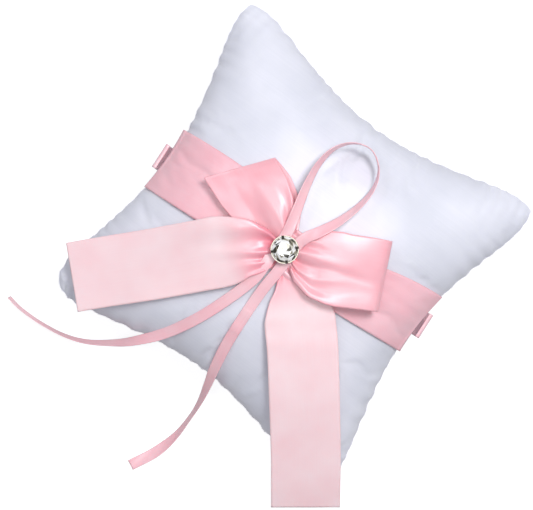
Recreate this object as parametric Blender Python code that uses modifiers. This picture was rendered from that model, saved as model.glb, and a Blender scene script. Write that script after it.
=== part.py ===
"""A ring bearer pillow lying on its back, as separate solids. Metres, +Z up.

The origin is under the middle of the pillow, on the surface that it lies on. +X runs along one side of the
cover, the way the wide front band lies, and +Y towards the side that the ring loop points to.
"""

import math

import bmesh
import bpy
import numpy as np

MM = 0.001

# The stuffed cover. A 200 mm square cut draws in to these spans when it is filled.
CORNER_HALF = 96.3 * MM  # from the middle to a side's line through its two corners
WAIST_DRAW = 13.1 * MM  # how far a side's middle pulls in from that line
CORNER_SOFTENING = 0.03  # share of the span that a corner tip on the tails' side is rounded off by
SHARP_SOFTENING = 0.008  # the same at the two corners on the loop's side, which are pulled out further
SEAM_HEIGHT = 30.0 * MM  # the side seam above the surface
FRONT_RISE = 35.0 * MM  # from the seam to the top of the front panel
BACK_DROP = 36.0 * MM  # how deep the back would hang if nothing flattened it
FULLNESS = 1.24  # power of the cosine in the pillow's section; lower is plumper
SATIN = 0.4 * MM  # cover cloth
GAP = 0.3 * MM  # between pieces that touch
SEAM_OPENING = 0.95 * MM  # each panel's edge from the seam's own plane
COVER_STEPS = 20
FILLING_INSET = 0.965  # the filling's plan, as a share of the cover's
FILLING_CLEARANCE = 1.5 * MM

# Ribbons
RIBBON = 0.4 * MM  # thickness of every ribbon
WIDE = 38.0 * MM
STRAP_WIDTH = 15.0 * MM
NARROW = 6.0 * MM
RING_LANE = 3.9 * MM  # the narrow ribbon's two passes under the stone, each from the thread
TAIL_LIFT = 1.6 * MM  # a tail's least height over the front panel: it clears the band too
BAND_TURN = math.radians(3.6)  # the band was sewn on a little askew
BAND_MIDDLE_Y = 4.6 * MM  # where the band's middle line crosses the Y axis
BAND_STEPS = 40
BAND_LIFT = 0.45 * MM  # off the front panel, which has coarser steps
SEAM_THREAD_RADIUS = 0.25 * MM
SEAM_THREAD_POINTS = 64

# The bow's middle
KNOT_X, KNOT_Y = -1.0 * MM, -2.2 * MM
KNOT_RADIUS = 7.4 * MM
KNOT_HEIGHT = 5.0 * MM
ROOT_REACH = KNOT_RADIUS + GAP  # where a loop or tail meets the knot's side

# The stone
STONE_RADIUS = 6.6 * MM
CUP_WALL = 0.5 * MM
CUP_RADIUS = STONE_RADIUS + GAP + CUP_WALL
CUP_BASE_RADIUS = 4.6 * MM
CUP_DEPTH = 4.0 * MM  # from the cup's underside to the crystal's girdle
GIRDLE = 0.5 * MM
CROWN = 2.3 * MM
PAVILION = 2.0 * MM
TABLE_RADIUS = 0.52 * STONE_RADIUS
CROWN_MIDDLE_RADIUS = 0.82 * STONE_RADIUS
CULET_RADIUS = 0.18 * STONE_RADIUS
CLAWS = 4
CLAW_WIDTH = 1.3 * MM
CLAW_REACH = 1.0 * MM  # how far a claw laps over the crystal

# The tacking thread down through the middle
THREAD_RADIUS = 0.4 * MM
THREAD_HOLE = 0.8 * MM
THREAD_KNOT = 0.9 * MM

# Levels, from the surface up
BACK_FLAT = RIBBON + GAP  # the back rests on the strap
FRONT_TOP = SEAM_HEIGHT + SEAM_OPENING + FRONT_RISE
BAND_TOP = FRONT_TOP + BAND_LIFT + RIBBON
KNOT_BASE = BAND_TOP + GAP
KNOT_TOP = KNOT_BASE + KNOT_HEIGHT
RING_LEVEL = KNOT_TOP + GAP + RIBBON / 2
CUP_BASE = KNOT_TOP + 2 * GAP + RIBBON
GIRDLE_BASE = CUP_BASE + CUP_DEPTH


def clear_scene():
    for obj in list(bpy.data.objects):
        bpy.data.objects.remove(obj, do_unlink=True)


def collection(name):
    made = bpy.data.collections.new(name)
    bpy.context.scene.collection.children.link(made)
    return made


def material(name, colour, roughness, metallic=0.0, transmission=0.0):
    made = bpy.data.materials.new(name)
    made.use_nodes = True
    shader = made.node_tree.nodes["Principled BSDF"]
    shader.inputs["Base Color"].default_value = (*colour, 1.0)
    shader.inputs["Roughness"].default_value = roughness
    shader.inputs["Metallic"].default_value = metallic
    shader.inputs["Transmission Weight"].default_value = transmission
    made.diffuse_color = (*colour, 1.0)
    return made


def add_object(name, data, finish, home):
    obj = bpy.data.objects.new(name, data)
    obj.data.materials.append(finish)
    home.objects.link(obj)
    return obj


def mesh_from(bm, name):
    data = bpy.data.meshes.new(name)
    bm.to_mesh(data)
    bm.free()
    return data


def thicken(obj, thickness, offset):
    """Solidify: offset -1 grows inwards from the surface, 0 both ways and 1 outwards."""
    wall = obj.modifiers.new("Thickness", "SOLIDIFY")
    wall.thickness = thickness
    wall.offset = offset
    wall.use_even_offset = True
    return obj


def cut(obj, cutter, name):
    step = obj.modifiers.new(name, "BOOLEAN")
    step.operation = "DIFFERENCE"
    step.object = cutter


def join(obj, other, name):
    step = obj.modifiers.new(name, "BOOLEAN")
    step.operation = "UNION"
    step.object = other


def grid_sheet(name, steps_u, steps_v, place, finish, home):
    """An open grid whose point at (u, v), each from -1 to 1, goes to place(u, v)."""
    bm = bmesh.new()
    bmesh.ops.create_grid(bm, x_segments=steps_u, y_segments=steps_v, size=1.0)
    for vert in bm.verts:
        vert.co = place(vert.co.x, vert.co.y)
    obj = add_object(name, mesh_from(bm, name), finish, home)
    obj.data.shade_smooth()
    return obj


# ---- the pillow's own shape ----


def side_reach(along):
    """How far a side lies from the middle, where along runs from -1 to 1 between its corners."""
    return CORNER_HALF - WAIST_DRAW * (1 + math.cos(math.pi * along)) / 2


def plan(u, v):
    """Plan position of the cover's point (u, v)."""
    soften = 1 - (CORNER_SOFTENING if v < 0 else SHARP_SOFTENING) * abs(u * v) ** 8
    return u * side_reach(v) * soften, v * side_reach(u) * soften


def loft(u, v):
    """Share of the full rise at (u, v): 1 in the middle, 0 on the seam."""
    across = max(0.0, (1 - u * u) * (1 - v * v))
    return across ** (FULLNESS / 2)


def uv_at(x, y):
    """The (u, v) of a plan position, by fixed-point steps."""
    u = v = 0.0
    for _ in range(40):
        u = max(-1.0, min(1.0, x / side_reach(v)))
        v = max(-1.0, min(1.0, y / side_reach(u)))
    return u, v


def front_height(x, y):
    u, v = uv_at(x, y)
    return SEAM_HEIGHT + SEAM_OPENING + FRONT_RISE * loft(u, v)


def eased(s):
    """Grid position s, -1 to 1, crowded towards the seam where the cover turns fastest."""
    return math.sin(math.pi / 2 * s)


def front_point(s, t):
    u, v = eased(s), eased(t)
    x, y = plan(u, v)
    return x, y, SEAM_HEIGHT + SEAM_OPENING + FRONT_RISE * loft(u, v)


def back_point(s, t):
    u, v = eased(s), eased(t)
    x, y = plan(u, v)
    hanging = SEAM_HEIGHT - SEAM_OPENING - BACK_DROP * loft(u, v)
    return x, y, max(BACK_FLAT, hanging)


def build_panels(white, home):
    front = grid_sheet("front_panel", COVER_STEPS, COVER_STEPS, front_point, white, home)
    thicken(front, SATIN, -1)
    back = grid_sheet("back_panel", COVER_STEPS, COVER_STEPS, back_point, white, home)
    back.data.flip_normals()
    thicken(back, SATIN, -1)
    return front, back


def build_filling(fibre, home):
    """The wad of fibre: the cover's inside, a little smaller, as one lens."""
    depth = SATIN + FILLING_CLEARANCE

    def upper(s, t):
        u, v = eased(s), eased(t)
        x, y = plan(u, v)
        return x * FILLING_INSET, y * FILLING_INSET, SEAM_HEIGHT + (FRONT_RISE - depth) * loft(u, v)

    def lower(s, t):
        x, y, _ = upper(s, t)
        hanging = SEAM_HEIGHT - (BACK_DROP - depth) * loft(eased(s), eased(t))
        return x, y, max(BACK_FLAT + SATIN + 3 * GAP, hanging)

    bm = bmesh.new()
    for place, turned in ((upper, False), (lower, True)):
        before = set(bm.faces)
        grid = bmesh.ops.create_grid(bm, x_segments=16, y_segments=16, size=1.0)
        for vert in grid["verts"]:
            vert.co = place(vert.co.x, vert.co.y)
        if turned:
            bmesh.ops.reverse_faces(bm, faces=[f for f in bm.faces if f not in before])
    bmesh.ops.remove_doubles(bm, verts=bm.verts, dist=0.01 * MM)
    obj = add_object("fibre_filling", mesh_from(bm, "fibre_filling"), fibre, home)
    obj.data.shade_smooth()
    return obj


def build_seam_thread(thread, home):
    """The lockstitch that closes the two panels, run once round the cover."""
    curve = bpy.data.curves.new("seam_thread", "CURVE")
    curve.dimensions = "3D"
    curve.bevel_depth = SEAM_THREAD_RADIUS
    curve.bevel_resolution = 1
    line = curve.splines.new("POLY")
    quarter = SEAM_THREAD_POINTS // 4
    corners = [(1, -1), (1, 1), (-1, 1), (-1, -1)]
    points = []
    for (u0, v0), (u1, v1) in zip(corners, corners[1:] + corners[:1]):
        for step in range(quarter):
            share = (1 + eased(2 * step / quarter - 1)) / 2
            points.append(plan(u0 + (u1 - u0) * share, v0 + (v1 - v0) * share))
    line.points.add(len(points) - 1)
    for point, (x, y) in zip(line.points, points):
        point.co = (x, y, SEAM_HEIGHT, 1.0)
    line.use_cyclic_u = True
    return add_object("seam_thread", curve, thread, home)


# ---- ribbons ----


def smooth_route(stations, steps):
    """A Catmull-Rom line through the stations, as an array of steps + 1 rows evenly spaced along it."""
    rows = np.array(stations, float)
    padded = np.vstack([2 * rows[0] - rows[1], rows, 2 * rows[-1] - rows[-2]])
    fine = []
    for i in range(1, len(padded) - 2):
        p0, p1, p2, p3 = padded[i - 1 : i + 3]
        for t in np.linspace(0, 1, 16, endpoint=False):
            a = 2 * p1
            b = p2 - p0
            c = 2 * p0 - 5 * p1 + 4 * p2 - p3
            d = 3 * p1 - p0 - 3 * p2 + p3
            fine.append(0.5 * (a + b * t + c * t**2 + d * t**3))
    fine = np.array(fine + [rows[-1]])
    run = np.concatenate([[0], np.cumsum(np.linalg.norm(np.diff(fine[:, :3], axis=0), axis=1))])
    at = np.linspace(0, run[-1], steps + 1)
    return np.stack([np.interp(at, run, fine[:, k]) for k in range(fine.shape[1])], axis=1)


def route_frames(rows):
    """For rows of (x, y, z, roll in degrees, width): the middle points and half-width vectors."""
    middle = rows[:, :3]
    ahead = np.gradient(middle, axis=0)
    ahead /= np.linalg.norm(ahead, axis=1)[:, None]
    level = np.cross([0.0, 0.0, 1.0], ahead)
    level /= np.linalg.norm(level, axis=1)[:, None]
    raised = np.cross(ahead, level)
    roll = np.radians(rows[:, 3])[:, None]
    side = np.cos(roll) * level + np.sin(roll) * raised
    return middle, side * rows[:, 4:5] / 2


def ribbon(name, rows, across_steps, finish, home):
    """A flat ribbon along the rows, with its thickness shared to both sides."""
    middle, half = route_frames(rows)
    steps = len(rows) - 1

    def place(u, v):
        i = int(round((u + 1) / 2 * steps))
        return middle[i] + v * half[i]

    obj = grid_sheet(name, steps, across_steps, place, finish, home)
    return thicken(obj, RIBBON, 0)


def laid_on_front(rows, lift):
    """The rows, each raised where any part of its width would be nearer than lift to the front panel."""
    middle, half = route_frames(rows)
    raised = rows.copy()
    for i, (here, arm) in enumerate(zip(middle, half)):
        for share in np.linspace(-1, 1, 9):
            x, y, z = here + share * arm
            u, v = uv_at(x, y)
            if abs(u) < 1 and abs(v) < 1:
                raised[i, 2] += max(0.0, front_height(x, y) + lift - (z + raised[i, 2] - here[2]))
    return raised


def band_line(x):
    return BAND_MIDDLE_Y + x * math.tan(BAND_TURN)


def build_band(pink, home):
    """The wide band: it follows the front panel from seam to seam, a gap above it."""

    def surface(x, y):
        return np.array([x, y, front_height(x, y)])

    def place(u, v):
        v_here = (band_line(0) + WIDE / 2 * v) / CORNER_HALF
        x = eased(u * 0.93) * side_reach(v_here) * 0.995
        y = band_line(x) + WIDE / 2 * v / math.cos(BAND_TURN)
        nudge = 0.05 * MM
        here = surface(x, y)
        slope_x = (surface(x + nudge, y) - surface(x - nudge, y)) / (2 * nudge)
        slope_y = (surface(x, y + nudge) - surface(x, y - nudge)) / (2 * nudge)
        normal = np.cross(slope_x, slope_y)
        return here + normal / np.linalg.norm(normal) * BAND_LIFT

    obj = grid_sheet("front_band", BAND_STEPS, 4, place, pink, home)
    return thicken(obj, RIBBON, 1)


def build_strap(pink, home):
    """The hand strap: slack, from seam to seam under the back. Its ends stand out past the seam."""
    edge = abs(band_line(side_reach(0.0))) + STRAP_WIDTH / 2
    reach = side_reach(edge / CORNER_HALF)
    seam = SEAM_HEIGHT
    flat = RIBBON / 2
    half = [
        (reach + 1.1 * MM, seam),
        (reach + 2.4 * MM, seam - 0.8 * MM),
        (reach + 3.2 * MM, seam - 4.2 * MM),
        (reach + 1.4 * MM, seam - 12.0 * MM),
        (reach - 6.0 * MM, seam - 21.5 * MM),
        (reach - 18.0 * MM, seam - 27.8 * MM),
        (reach - 30.0 * MM, flat),
        (reach - 42.0 * MM, flat),
        (0.5 * (reach - 42.0 * MM), flat),
    ]
    line = [(-x, z) for x, z in half] + [(0.0, flat)] + [(x, z) for x, z in reversed(half)]
    stations = [(x, band_line(x), z, 0.0, STRAP_WIDTH) for x, z in line]
    rows = smooth_route(stations, 56)
    rows[:, 2] = np.maximum(rows[:, 2], flat)
    return ribbon("hand_strap", rows, 1, pink, home)


def loop_rows(heading, reach, lower, upper):
    """A bow loop's section: out along the lower layer, round the fold and back along the upper one.

    lower and upper are (share of reach, height) pairs. Returns (distance out, height) rows.
    """
    fold = (lower[-1][1] + upper[0][1]) / 2
    line = [(share * reach, z) for share, z in lower]
    line += [(reach, fold)]
    line += [(share * reach, z) for share, z in upper]
    flat = [(out, 0.0, z) for out, z in line]
    rows = smooth_route(flat, 44)
    return rows[:, 0], rows[:, 2]


def gathered(out, reach):
    """Half width of a bow loop at a distance out from the knot's middle."""
    opened = min(1.0, max(0.0, (out - ROOT_REACH) / (0.45 * reach)))
    eased_open = opened * opened * (3 - 2 * opened)
    return (GATHERED + (WIDE - GATHERED) * eased_open) / 2


GATHERED = 11.0 * MM  # width of the wide ribbon where it goes into the knot


def build_loop(name, heading, reach, skew, press, lower, upper, pink, home):
    """One bow loop. skew slants its fold, and press lowers the top layer on the side nearer the tails."""
    out, height = loop_rows(heading, reach, lower, upper)
    top_side = len(out) // 2
    low = np.interp(out, out[: top_side + 1], height[: top_side + 1])
    ahead = np.array([math.cos(heading), math.sin(heading)])
    across = np.array([-math.sin(heading), math.cos(heading)])
    steps = len(out) - 1

    def place(u, v):
        i = int(round((u + 1) / 2 * steps))
        far = out[i] * (1 + skew * v * (out[i] - ROOT_REACH) / reach)
        x, y = np.array([KNOT_X, KNOT_Y]) + ahead * far + across * v * gathered(out[i], reach)
        lift = height[i] - low[i] if i > top_side else 0.0
        return x, y, height[i] - lift * press * (1 + v) / 2

    obj = grid_sheet(name, steps, 6, place, pink, home)
    return thicken(obj, RIBBON, 0)


def build_bow(pink, home):
    knot = build_knot(pink, home)
    build_loop(
        "bow_loop_right", math.radians(21.4), 54.2 * MM, -0.02, 0.0,
        [(0.142, KNOT_BASE + 1.3 * MM), (0.36, KNOT_BASE + 1.2 * MM), (0.62, KNOT_BASE + 0.4 * MM),
         (0.84, KNOT_BASE - 1.4 * MM), (0.975, KNOT_BASE - 2.6 * MM)],
        [(0.975, KNOT_BASE - 0.6 * MM), (0.85, KNOT_BASE + 2.4 * MM), (0.64, KNOT_BASE + 5.8 * MM),
         (0.42, KNOT_BASE + 7.2 * MM), (0.25, KNOT_BASE + 6.0 * MM), (0.142, KNOT_BASE + 3.6 * MM)],
        pink, home,
    )
    build_loop(
        "bow_loop_left", math.radians(155.4), 48.9 * MM, 0.09, 0.45,
        [(0.158, KNOT_BASE + 1.2 * MM), (0.40, KNOT_BASE - 0.8 * MM), (0.68, KNOT_BASE - 2.6 * MM),
         (0.88, KNOT_BASE - 3.6 * MM), (0.97, KNOT_BASE - 3.8 * MM)],
        [(0.97, KNOT_BASE - 1.0 * MM), (0.86, KNOT_BASE + 2.0 * MM), (0.66, KNOT_BASE + 5.4 * MM),
         (0.44, KNOT_BASE + 6.6 * MM), (0.27, KNOT_BASE + 5.0 * MM), (0.158, KNOT_BASE + 2.4 * MM)],
        pink, home,
    )
    build_tails(pink, home)
    return knot


def mm_rows(stations):
    """Stations in millimetres and degrees, (x, y, z, roll, width), as metres and degrees."""
    return [(x * MM, y * MM, z * MM, roll, width * MM) for x, y, z, roll, width in stations]


def build_tails(pink, home):
    """The two wide tails, from the knot out over the corners. Widths open from the gathered end."""
    wide, gathers = WIDE / MM, GATHERED / MM
    left = [
        (-7.7, -6.2, 70.5, 0, gathers), (-12.5, -8.6, 71.9, -4, 19), (-19.2, -13.2, 71.6, -8, 31),
        (-27.0, -21.6, 68.4, -8, wide), (-35.0, -31.4, 64.4, -5, wide), (-53.8, -51.2, 54.8, 0, wide),
        (-69.7, -67.0, 47.0, 0, wide), (-84.6, -82.4, 41.0, 0, wide),
    ]
    right = [
        (4.7, -7.9, 67.5, 0, gathers), (9.0, -11.0, 67.3, 0, 16), (15.0, -15.4, 66.9, 0, 27),
        (24.5, -23.6, 64.6, 0, wide), (39.0, -39.6, 60.5, 0, wide), (56.0, -61.0, 52.0, 0, wide),
        (73.6, -83.5, 40.0, 0, wide), (84.0, -97.6, 33.5, 0, wide), (92.7, -109.2, 25.0, 0, wide),
    ]
    ribbon("bow_tail_left", laid_on_front(smooth_route(mm_rows(left), 40), TAIL_LIFT), 4, pink, home)
    ribbon("bow_tail_right", laid_on_front(smooth_route(mm_rows(right), 44), TAIL_LIFT), 4, pink, home)


def build_knot(pink, home):
    """The drawn-up middle of the bow, a soft round pad."""
    bm = bmesh.new()
    bmesh.ops.create_cone(
        bm, cap_ends=True, segments=32, radius1=KNOT_RADIUS, radius2=KNOT_RADIUS, depth=KNOT_HEIGHT
    )
    knot = add_object("bow_knot", mesh_from(bm, "bow_knot"), pink, home)
    knot.location = (KNOT_X, KNOT_Y, KNOT_BASE + KNOT_HEIGHT / 2)
    soft = knot.modifiers.new("Soft edge", "BEVEL")
    soft.width = 1.4 * MM
    soft.segments = 3
    soft.limit_method = "ANGLE"
    return knot


def build_narrow_ribbon(pink, home):
    """The ribbon that the rings are tied to: a loop and two tails, all held under the stone.

    Roll turns it about its own length: near 90 it stands on edge.
    """
    level = RING_LEVEL / MM
    left_x, right_x = KNOT_X / MM - RING_LANE / MM, KNOT_X / MM + RING_LANE / MM
    start = KNOT_Y / MM + GAP / MM
    loop = [
        (left_x, start, level, 0), (left_x, start + 6.0, level, 0), (-6.2, 11.0, 73.6, 12),
        (-8.4, 19.3, 74.6, 30), (-11.6, 31.7, 72.6, 46), (-13.3, 44.0, 69.2, 60), (-12.1, 54.7, 66.0, 72),
        (-7.9, 62.4, 63.6, 82), (-1.5, 67.0, 62.0, 90), (5.7, 67.8, 61.4, 92), (12.9, 63.3, 61.6, 88),
        (16.8, 56.4, 62.8, 80), (18.0, 47.5, 65.4, 70), (16.4, 36.5, 69.0, 58), (12.8, 25.4, 73.2, 42),
        (8.0, 15.6, 75.0, 22), (4.4, 9.6, 73.6, 8), (right_x, start + 6.0, level, 0), (right_x, start, level, 0),
    ]
    left = [
        (left_x, start - 2 * GAP / MM, level, 0), (left_x, start - 6.0, level, 0), (-4.6, -14.0, 72.4, 0),
        (-5.0, -24.6, 69.6, 0), (-9.6, -41.0, 63.8, 0), (-16.6, -59.2, 56.0, 4), (-25.6, -76.0, 45.0, 12),
        (-36.6, -90.0, 34.0, 36), (-46.2, -99.4, 22.5, 56), (-59.2, -108.8, 12.5, 70), (-72.6, -114.3, 6.0, 78),
        (-88.0, -116.7, 4.0, 80), (-101.4, -116.8, 3.6, 80), (-109.9, -115.4, 3.6, 80),
    ]
    right = [
        (right_x, start - 2 * GAP / MM, level, 0), (right_x, start - 6.0, level, 0), (2.8, -14.4, 71.4, 0),
        (2.2, -26.4, 67.6, 0), (2.7, -42.5, 61.8, 0), (4.0, -59.9, 54.6, 6), (6.6, -75.6, 44.6, 22),
        (9.0, -85.6, 35.4, 42), (11.4, -97.0, 24.0, 62), (12.5, -108.3, 14.0, 70), (12.2, -122.4, 6.0, 56),
        (8.6, -136.8, 2.4, 20), (1.6, -151.4, 0.8, 0),
    ]
    routes = (("ring_loop", loop, 84), ("ring_tail_left", left, 64), ("ring_tail_right", right, 60))
    for name, stations, steps in routes:
        rows = smooth_route(mm_rows([(*row, NARROW / MM) for row in stations]), steps)
        ribbon(name, laid_on_front(rows, 2 * RIBBON), 1, pink, home)


# ---- the stone ----


def ring(bm, count, radius, height, turn=0.0):
    """Points of a level ring about the stone's axis."""
    for i in range(count):
        angle = 2 * math.pi * (i + turn) / count
        bm.verts.new((radius * math.cos(angle), radius * math.sin(angle), height))


def build_crystal(glass, home):
    """A round brilliant: table, stars and kites on the crown, girdle and an eight-sided back."""
    bm = bmesh.new()
    ring(bm, 8, TABLE_RADIUS, GIRDLE + CROWN, 0.5)
    ring(bm, 8, CROWN_MIDDLE_RADIUS, GIRDLE + 0.62 * CROWN)
    ring(bm, 16, STONE_RADIUS, GIRDLE)
    ring(bm, 16, STONE_RADIUS, 0.0)
    ring(bm, 8, CULET_RADIUS, -PAVILION)
    bmesh.ops.convex_hull(bm, input=bm.verts)
    obj = add_object("crystal", mesh_from(bm, "crystal"), glass, home)
    obj.location = (KNOT_X, KNOT_Y, GIRDLE_BASE)
    return obj


def lathe(name, profile, finish, home, steps=32):
    """A solid turned about its own Z axis from (radius, height) points that run down the outside."""
    bm = bmesh.new()
    verts = [bm.verts.new((radius, 0.0, height)) for radius, height in profile]
    for a, b in zip(verts, verts[1:]):
        bm.edges.new((a, b))
    obj = add_object(name, mesh_from(bm, name), finish, home)
    spin = obj.modifiers.new("Turn", "SCREW")
    spin.steps = spin.render_steps = steps
    spin.use_merge_vertices = True
    spin.merge_threshold = 0.00001
    return obj


def build_cup(metal, home, helpers):
    """The metal cup that holds the crystal, with claws bent in over its edge."""
    lip = CUP_DEPTH + GIRDLE
    inner = CUP_RADIUS - CUP_WALL
    seat_radius = CUP_BASE_RADIUS - CUP_WALL
    profile = [
        (THREAD_HOLE, CUP_WALL), (seat_radius, CUP_WALL), (inner, CUP_DEPTH - 1.0 * MM), (inner, lip),
        (CUP_RADIUS, lip), (CUP_RADIUS, CUP_DEPTH - 1.2 * MM), (CUP_BASE_RADIUS, 0.0), (THREAD_HOLE, 0.0),
        (THREAD_HOLE, CUP_WALL),
    ]
    cup = lathe("stone_cup", profile, metal, home)
    cup.location = (KNOT_X, KNOT_Y, CUP_BASE)
    for i in range(CLAWS):
        claw = claw_piece(i, lip, metal, helpers)
        join(cup, claw, f"Claw {i + 1}")
    return cup


def claw_piece(index, lip, metal, helpers):
    """One claw: a bent strip that stands on the wall and laps in over the crown."""
    wall = CUP_RADIUS - CUP_WALL / 2
    half = CUP_WALL / 2
    crown_slope = (0.62 * CROWN) / (STONE_RADIUS - CROWN_MIDDLE_RADIUS)
    lap = wall - half - CLAW_REACH - GAP
    over = (STONE_RADIUS - lap) * crown_slope + GAP * 1.6
    outline = [
        (wall + half - 0.02 * MM, lip - 0.5 * MM), (wall + half - 0.02 * MM, lip + 0.55 * MM),
        (lap, lip + over + 0.45 * MM), (lap, lip + over), (wall - half + 0.02 * MM, lip + 0.12 * MM),
        (wall - half + 0.02 * MM, lip - 0.5 * MM),
    ]
    bm = bmesh.new()
    near = [bm.verts.new((r, -CLAW_WIDTH / 2, z)) for r, z in outline]
    face = bm.faces.new(near)
    grown = bmesh.ops.extrude_face_region(bm, geom=[face])
    moved = [item for item in grown["geom"] if isinstance(item, bmesh.types.BMVert)]
    bmesh.ops.translate(bm, vec=(0, CLAW_WIDTH, 0), verts=moved)
    bmesh.ops.recalc_face_normals(bm, faces=bm.faces)
    claw = add_object(f"claw_shape_{index + 1}", mesh_from(bm, "claw_shape"), metal, helpers)
    claw.location = (KNOT_X, KNOT_Y, CUP_BASE)
    claw.rotation_euler = (0, 0, 2 * math.pi * (index + 0.5) / CLAWS)
    claw.hide_render = True
    claw.display_type = "WIRE"
    return claw


def build_tacking_thread(thread, home):
    """The thread that holds stone, ribbons, bow and cover together, with a knot at each end."""
    top = CUP_BASE + CUP_WALL + GAP + THREAD_KNOT * 0.6
    bottom = FRONT_TOP - SATIN - 2 * GAP - THREAD_KNOT * 0.6
    profile = [
        (0.0, top + THREAD_KNOT * 0.4), (THREAD_KNOT, top), (THREAD_KNOT, top - THREAD_KNOT * 0.6),
        (THREAD_RADIUS, top - THREAD_KNOT * 0.6), (THREAD_RADIUS, bottom + THREAD_KNOT * 0.6),
        (THREAD_KNOT, bottom + THREAD_KNOT * 0.6), (THREAD_KNOT, bottom), (0.0, bottom - THREAD_KNOT * 0.4),
    ]
    obj = lathe("tacking_thread", profile, thread, home, steps=12)
    obj.location = (KNOT_X, KNOT_Y, 0.0)
    return obj


def drill(home):
    """The needle's way through knot, band and front panel, and the pocket that its knot makes in the fibre."""
    cutters = []
    for name, radius, low, high in (
        ("needle_way", THREAD_HOLE, FRONT_TOP - 4 * MM, CUP_BASE),
        ("knot_pocket", THREAD_KNOT + GAP, FRONT_TOP - SATIN - 3.2 * MM, FRONT_TOP),
    ):
        bm = bmesh.new()
        bmesh.ops.create_cone(
            bm, cap_ends=True, segments=16, radius1=radius, radius2=radius, depth=high - low
        )
        cutter = bpy.data.objects.new(name, mesh_from(bm, name))
        cutter.location = (KNOT_X, KNOT_Y, (low + high) / 2)
        cutter.hide_render = True
        cutter.display_type = "WIRE"
        home.objects.link(cutter)
        cutters.append(cutter)
    return cutters


def main():
    clear_scene()
    home = collection("ring_bearer_pillow")
    helpers = collection("cutters")
    helpers.hide_render = True
    white = material("white_satin", (0.90, 0.91, 0.95), 0.45)
    pink = material("pink_satin", (0.90, 0.50, 0.58), 0.35)
    fibre = material("polyester_fibre", (0.85, 0.85, 0.85), 0.9)
    thread = material("polyester_thread", (0.88, 0.88, 0.90), 0.6)
    glass = material("crystal_glass", (0.95, 0.97, 1.0), 0.02, transmission=1.0)
    metal = material("silver_plate", (0.75, 0.74, 0.72), 0.15, metallic=1.0)

    front, _ = build_panels(white, home)
    filling = build_filling(fibre, home)
    build_seam_thread(thread, home)
    band = build_band(pink, home)
    build_strap(pink, home)
    knot = build_bow(pink, home)
    build_narrow_ribbon(pink, home)
    build_crystal(glass, home)
    build_cup(metal, home, helpers)
    build_tacking_thread(thread, home)
    needle_way, knot_pocket = drill(helpers)
    for obj in (knot, band, front):
        cut(obj, needle_way, "Needle way")
    cut(filling, knot_pocket, "Knot pocket")


main()
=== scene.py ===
"""The looks of a ring bearer pillow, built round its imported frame.

A white satin cushion lies on its back. A wide pink ribbon crosses its front, a bow of the same ribbon is
tacked to the middle under a foil-backed stone, and a narrow ribbon under the stone makes a loop and two tails
that rings are tied to. Everything is in metres, with +Z up out of the cushion's front.
"""

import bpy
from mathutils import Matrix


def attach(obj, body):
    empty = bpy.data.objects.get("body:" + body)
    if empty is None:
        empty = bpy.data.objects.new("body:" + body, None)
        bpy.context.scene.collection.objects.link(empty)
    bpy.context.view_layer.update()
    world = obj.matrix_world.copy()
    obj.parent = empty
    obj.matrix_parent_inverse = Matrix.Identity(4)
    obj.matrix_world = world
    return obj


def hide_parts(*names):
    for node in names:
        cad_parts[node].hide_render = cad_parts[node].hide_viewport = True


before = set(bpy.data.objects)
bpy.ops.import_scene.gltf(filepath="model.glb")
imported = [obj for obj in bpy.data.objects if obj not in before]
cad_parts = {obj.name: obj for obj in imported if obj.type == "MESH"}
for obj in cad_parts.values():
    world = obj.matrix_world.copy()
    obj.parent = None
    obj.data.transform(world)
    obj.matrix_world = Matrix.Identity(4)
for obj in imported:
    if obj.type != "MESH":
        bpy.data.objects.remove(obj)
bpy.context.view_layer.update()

import logging
import math
from dataclasses import dataclass
from enum import Enum

import bmesh
import bpy
import numpy as np

MM = 0.001
BODY = "root"
LOG = logging.getLogger("ring_pillow")

KNOT = np.array([-1.0, -2.2]) * MM  # the stone's axis
RIBBON_THICK = 0.35 * MM
WIDE = 38.0 * MM
STRAP_WIDE = 15.0 * MM
NARROW = 6.0 * MM
# painted reflections: the attribute holds each stone facet's painted reflection tone
PAINTED_FACET_REFLECTION = "painted_facet_reflection"  # the attribute that the stone's facets keep their tones in
CUSHION_MIDDLE = (0.0, 0.0, 40.0 * MM)
HALF_TURN = 3.14  # radians, near enough for a random start


class Slot(Enum):
    """The record's material slots."""

    COVER = "cover_satin"
    RIBBON = "ribbon_satin"
    FIBRE = "filling_fibre"
    THREAD = "sewing_thread"
    GLASS = "stone_glass"


class Held(Enum):
    """How a length of ribbon is held, in the frame's words."""

    GATHERED = "gathered"
    LAID = "laid"
    HUNG = "hung"


# ---- colours and nodes ----


def linear(hex_colour: str) -> tuple[float, float, float, float]:
    """The linear colour of an sRGB hex value.

    Args:
        hex_colour: six hex digits after a #.

    Returns:
        Red, green, blue and an alpha of 1. Each channel is c/12.92 up to 0.04045, and ((c+0.055)/1.055)^2.4
        above it.
    """
    channels = [int(hex_colour[i : i + 2], 16) / 255 for i in (1, 3, 5)]
    turned = [c / 12.92 if c <= 0.04045 else ((c + 0.055) / 1.055) ** 2.4 for c in channels]
    return (turned[0], turned[1], turned[2], 1.0)


def add_node(
    tree: bpy.types.NodeTree, kind: str, settings: dict | None = None, links: dict | None = None
) -> bpy.types.Node:
    """Adds a node.

    Args:
        tree: the material's node tree.
        kind: the node's type name.
        settings: attribute or input name to value. An input's name wins over an attribute's.
        links: input name or number to the output socket that feeds it.

    Returns:
        The node.
    """
    node = tree.nodes.new(kind)
    for key, value in (settings or {}).items():
        if isinstance(key, int) or key in node.inputs:
            node.inputs[key].default_value = value
        else:
            setattr(node, key, value)
    for key, socket in (links or {}).items():
        tree.links.new(socket, node.inputs[key])
    return node


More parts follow.
